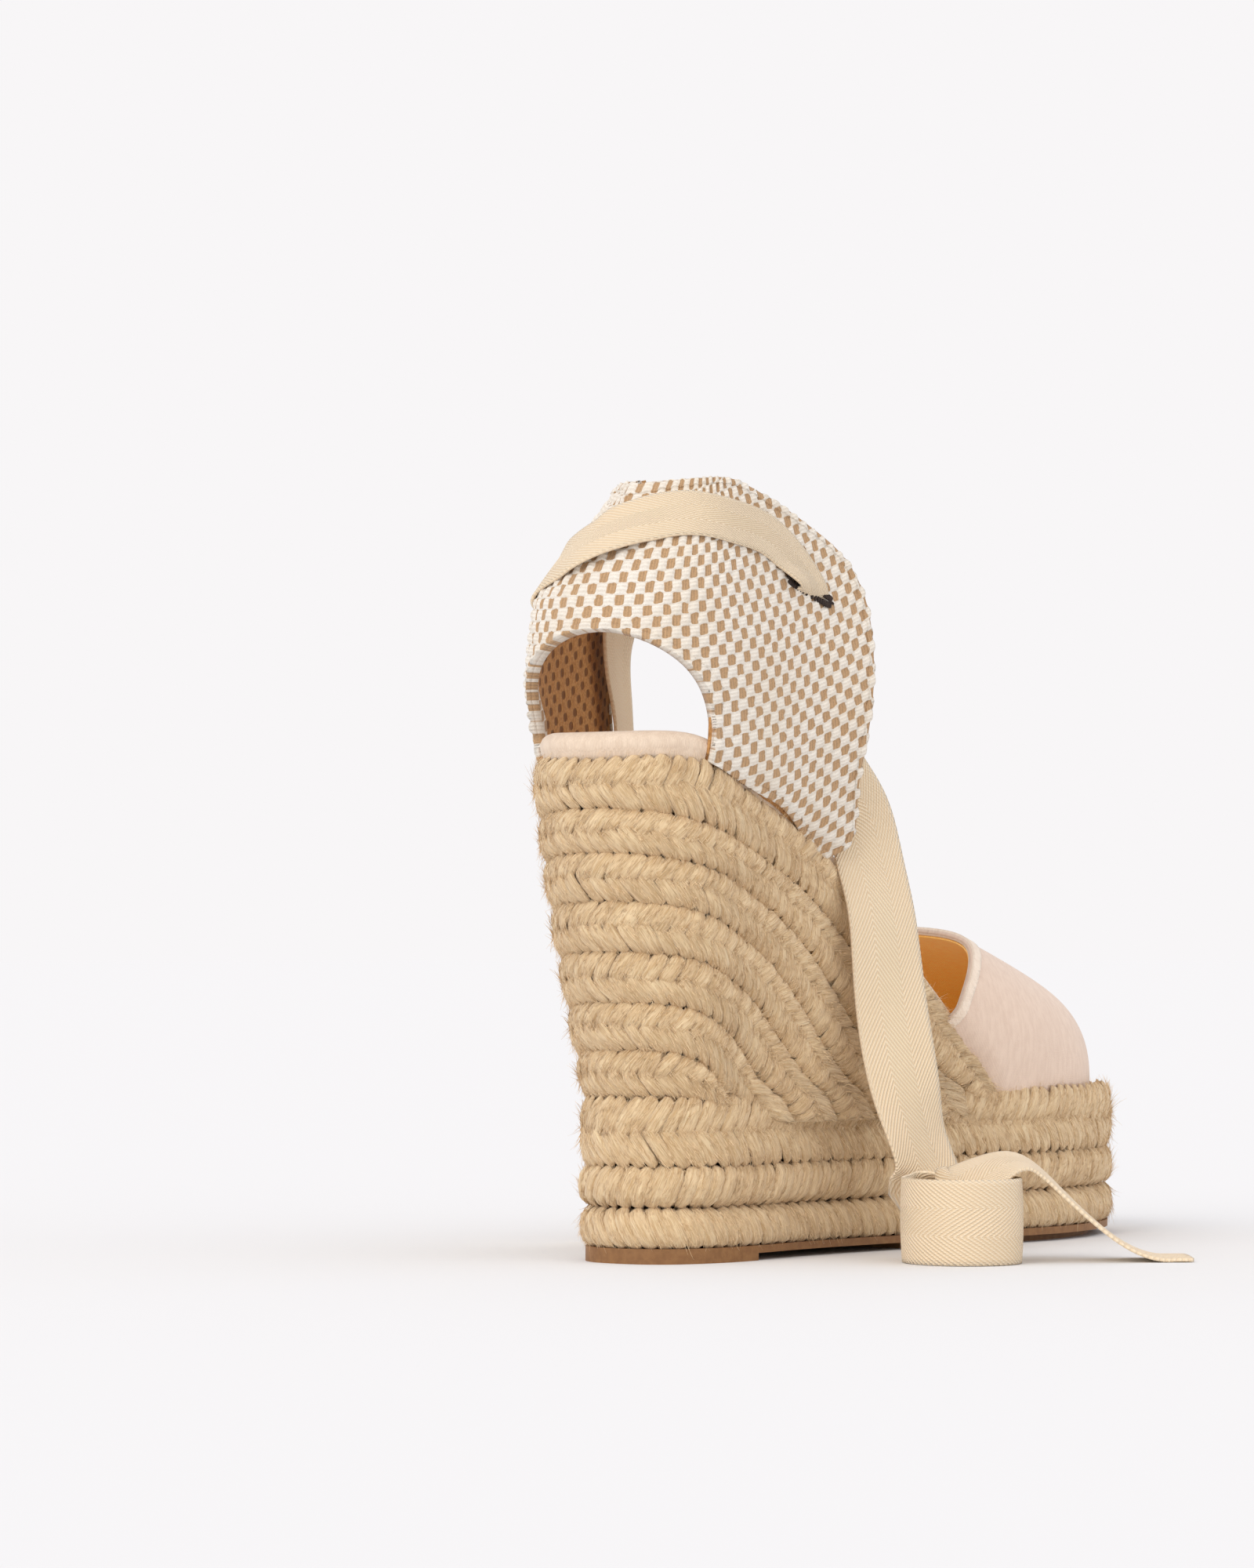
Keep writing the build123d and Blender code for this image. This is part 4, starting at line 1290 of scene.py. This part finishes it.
def vamp_stitches():
    """Small stitches that hold the binding, a little inside the vamp's top line."""
    t = np.linspace(-56, 56, 1200)
    low, high = np.zeros(len(t)), np.full(len(t), VAMP_RUN[-1] * 0.5)
    for _ in range(24):
        middle = (low + high) / 2
        beyond = vamp_outside(vamp_surface(t, middle))[0] > -BINDING_WIDTH - 0.5
        low, high = np.where(beyond, middle, low), np.where(beyond, high, middle)
    line = vamp_surface(t, low, t * 0 + 0.12)
    keep = line[:, 2] > FOOT_LINE(line[:, 1]) + 1.5
    line, far = line[keep], along(line[keep])
    count = int(far[-1] / 2.3)
    centre = np.linspace(0, far[-1], count)
    mesh, shape = copies("vamp_stitches", strand_shape(), count)
    at = centre[:, None] + shape[None, :, 2] * 0.8
    points = np.stack([np.interp(at, far, line[:, k]) for k in range(3)], -1)
    out = unit(points - np.array([0, 118, PLATFORM_TOP + 8]))
    side = unit(np.cross(out, np.gradient(points, axis=1) + 1e-6))
    points = points + out * shape[None, :, 0, None] * 0.2 + side * shape[None, :, 1, None] * 0.2
    set_coordinates(mesh, placed(points.reshape(-1, 3)))
    return mesh


class SANDAL_OT_ribbon(bpy.types.Operator):
    """Build the ribbon that ties the sandal"""
    bl_idname = "sandal.ribbon"
    bl_label = "Ribbon"

    def execute(self, context):
        mesh, length = ribbon_mesh()
        piece = finish_piece("ribbon", mesh, "twill_ribbon",
                             ["ribbon_band", "ribbon_tail_right", "ribbon_tail_left"])
        solid = piece.modifiers.new("thickness", "SOLIDIFY")
        solid.thickness = settings().ribbon_thickness
        solid.offset = 0
        round(length * MM, 3)
        return {"FINISHED"}


class SANDAL_OT_buttonholes(bpy.types.Operator):
    """Build the stitched edges of the two buttonholes"""
    bl_idname = "sandal.buttonholes"
    bl_label = "Buttonholes"

    def execute(self, context):
        for name, side in (("right", 1), ("left", -1)):
            mesh = buttonhole_mesh(name, side)
            finish_piece(f"buttonhole_{name}_stitches", mesh, "dark_thread",
                         [f"buttonhole_{name}"])
        return {"FINISHED"}


def buttonhole_mesh(name, side):
    """A ring of short thick stitches round a long slit in the counter's side."""
    count = settings().stitch_count
    mesh, shape = copies("buttonhole_" + name, strand_shape(), count)
    turn = np.linspace(0, 2 * math.pi, count, endpoint=False)
    a = SLIT_RUN * np.sign(np.cos(turn)) * np.abs(np.cos(turn)) ** 0.75
    b = SLIT_WIDE * np.sign(np.sin(turn)) * np.abs(np.sin(turn)) ** 0.5
    direction = unit(np.stack([a / SLIT_RUN ** 2 * 1.2, b / SLIT_WIDE ** 2 * 0.6], -1))
    place = np.stack([a, b], -1)[:, None, :] + direction[:, None, :] * (
        shape[None, :, 2:3] * 0.85 + 0.5)
    across = np.stack([-direction[:, 1], direction[:, 0]], -1)
    place = place + across[:, None, :] * shape[None, :, 0:1] * 0.42
    lift = 0.55 + 0.35 * shape[None, :, 1]
    # The slit leans down towards the front.
    forward, down = 0.93, 0.36
    t = SLIT_PLACE[0] + place[..., 0] * forward + place[..., 1] * down
    z = SLIT_PLACE[1] - place[..., 0] * down + place[..., 1] * forward
    points = counter_surface(t.ravel() * side, z.ravel(), np.broadcast_to(lift, t.shape).ravel())
    set_coordinates(mesh, placed(points))
    return closed_up(mesh, fill=False)


class SANDAL_OT_stage(bpy.types.Operator):
    """Set up the floor, the lights and the camera"""
    bl_idname = "sandal.stage"
    bl_label = "Stage"

    def execute(self, context):
        floor()
        lights()
        camera()
        return {"FINISHED"}


def floor():
    """A plain pale floor that runs on to the horizon."""
    bm = bmesh.new()
    bmesh.ops.create_grid(bm, x_segments=8, y_segments=8, size=45)
    mesh = mesh_of("floor", bm)
    obj = bpy.data.objects.new("floor", mesh)
    bpy.context.collection.objects.link(obj)
    paint = Paint("floor", Roughness=0.95, Specular_IOR_Level=0.0,
                  Base_Color=(0.806, 0.811, 0.826, 1))
    mesh.materials.append(paint.material)


def view_axes():
    """The viewer's right and the way the viewer looks, both level."""
    turn = math.radians(VIEW_TURN)
    right = Vector((math.cos(turn), math.sin(turn), 0))
    return right, Vector((-right.y, right.x, 0))


def camera():
    right, ahead = view_axes()
    anchor = Vector(placed((*VIEW_ANCHOR, VIEW_HEIGHT)))
    data = bpy.data.cameras.new("camera")
    data.lens, data.sensor_width, data.shift_y = VIEW_LENS, 36.0, VIEW_SHIFT
    data.clip_start, data.clip_end = 0.05, 50
    obj = bpy.data.objects.new("camera", data)
    obj.location = anchor - ahead * VIEW_DISTANCE * MM - right * VIEW_ASIDE * MM
    obj.rotation_euler = (math.pi / 2, 0, math.radians(VIEW_TURN))
    bpy.context.collection.objects.link(obj)
    bpy.context.scene.camera = obj


def sun(name, aside, toward, up, strength, softness, colour=(1, 1, 1)):
    """A soft distant light that comes from the viewer's right, the viewer, and above."""
    right, ahead = view_axes()
    place = right * aside - ahead * toward + Vector((0, 0, up))
    data = bpy.data.lights.new(name, "SUN")
    data.energy, data.angle, data.color = strength, math.radians(softness), colour
    obj = bpy.data.objects.new(name, data)
    obj.location = place
    obj.rotation_euler = place.to_track_quat("Z", "Y").to_euler()
    bpy.context.collection.objects.link(obj)


def lights():
    sun("key", -1.0, 1.3, 1.2, 1.05, 35, (1.0, 0.96, 0.90))
    sun("fill", 1.2, 1.0, 0.6, 0.25, 60, (1.0, 0.95, 0.88))
    world = bpy.data.worlds.new("studio")
    world.use_nodes = True
    background = world.node_tree.nodes["Background"]
    background.inputs["Color"].default_value = (0.939, 0.922, 0.93, 1)
    background.inputs["Strength"].default_value = 1.0
    bpy.context.scene.world = world
    bpy.context.scene.view_settings.view_transform = "Standard"


class SANDAL_PT_panel(bpy.types.Panel):
    """Lists the steps that build the sandal"""
    bl_label = "Sandal"
    bl_idname = "SANDAL_PT_panel"
    bl_space_type = "VIEW_3D"
    bl_region_type = "UI"
    bl_category = "Sandal"

    def draw(self, context):
        for operator in OPERATORS:
            self.layout.operator(operator.bl_idname)
        for name in SandalSettings.__annotations__:
            self.layout.prop(context.scene.sandal, name)


OPERATORS = (
    SANDAL_OT_stage, SANDAL_OT_materials, SANDAL_OT_platform, SANDAL_OT_wedge, SANDAL_OT_footbed,
    SANDAL_OT_counter, SANDAL_OT_vamp, SANDAL_OT_buttonholes, SANDAL_OT_ribbon,
)
CLASSES = (SandalSettings, *OPERATORS, SANDAL_PT_panel)


def register():
    for item in CLASSES:
        bpy.utils.register_class(item)
    bpy.types.Scene.sandal = PointerProperty(type=SandalSettings)


def unregister():
    del bpy.types.Scene.sandal
    for item in reversed(CLASSES):
        bpy.utils.unregister_class(item)


def main():
    register()
    bpy.ops.sandal.stage()
    bpy.ops.sandal.materials()
    bpy.ops.sandal.platform()
    bpy.ops.sandal.wedge()
    bpy.ops.sandal.footbed()
    bpy.ops.sandal.counter()
    bpy.ops.sandal.vamp()
    bpy.ops.sandal.buttonholes()
    bpy.ops.sandal.ribbon()


if __name__ == "__main__":
    main()
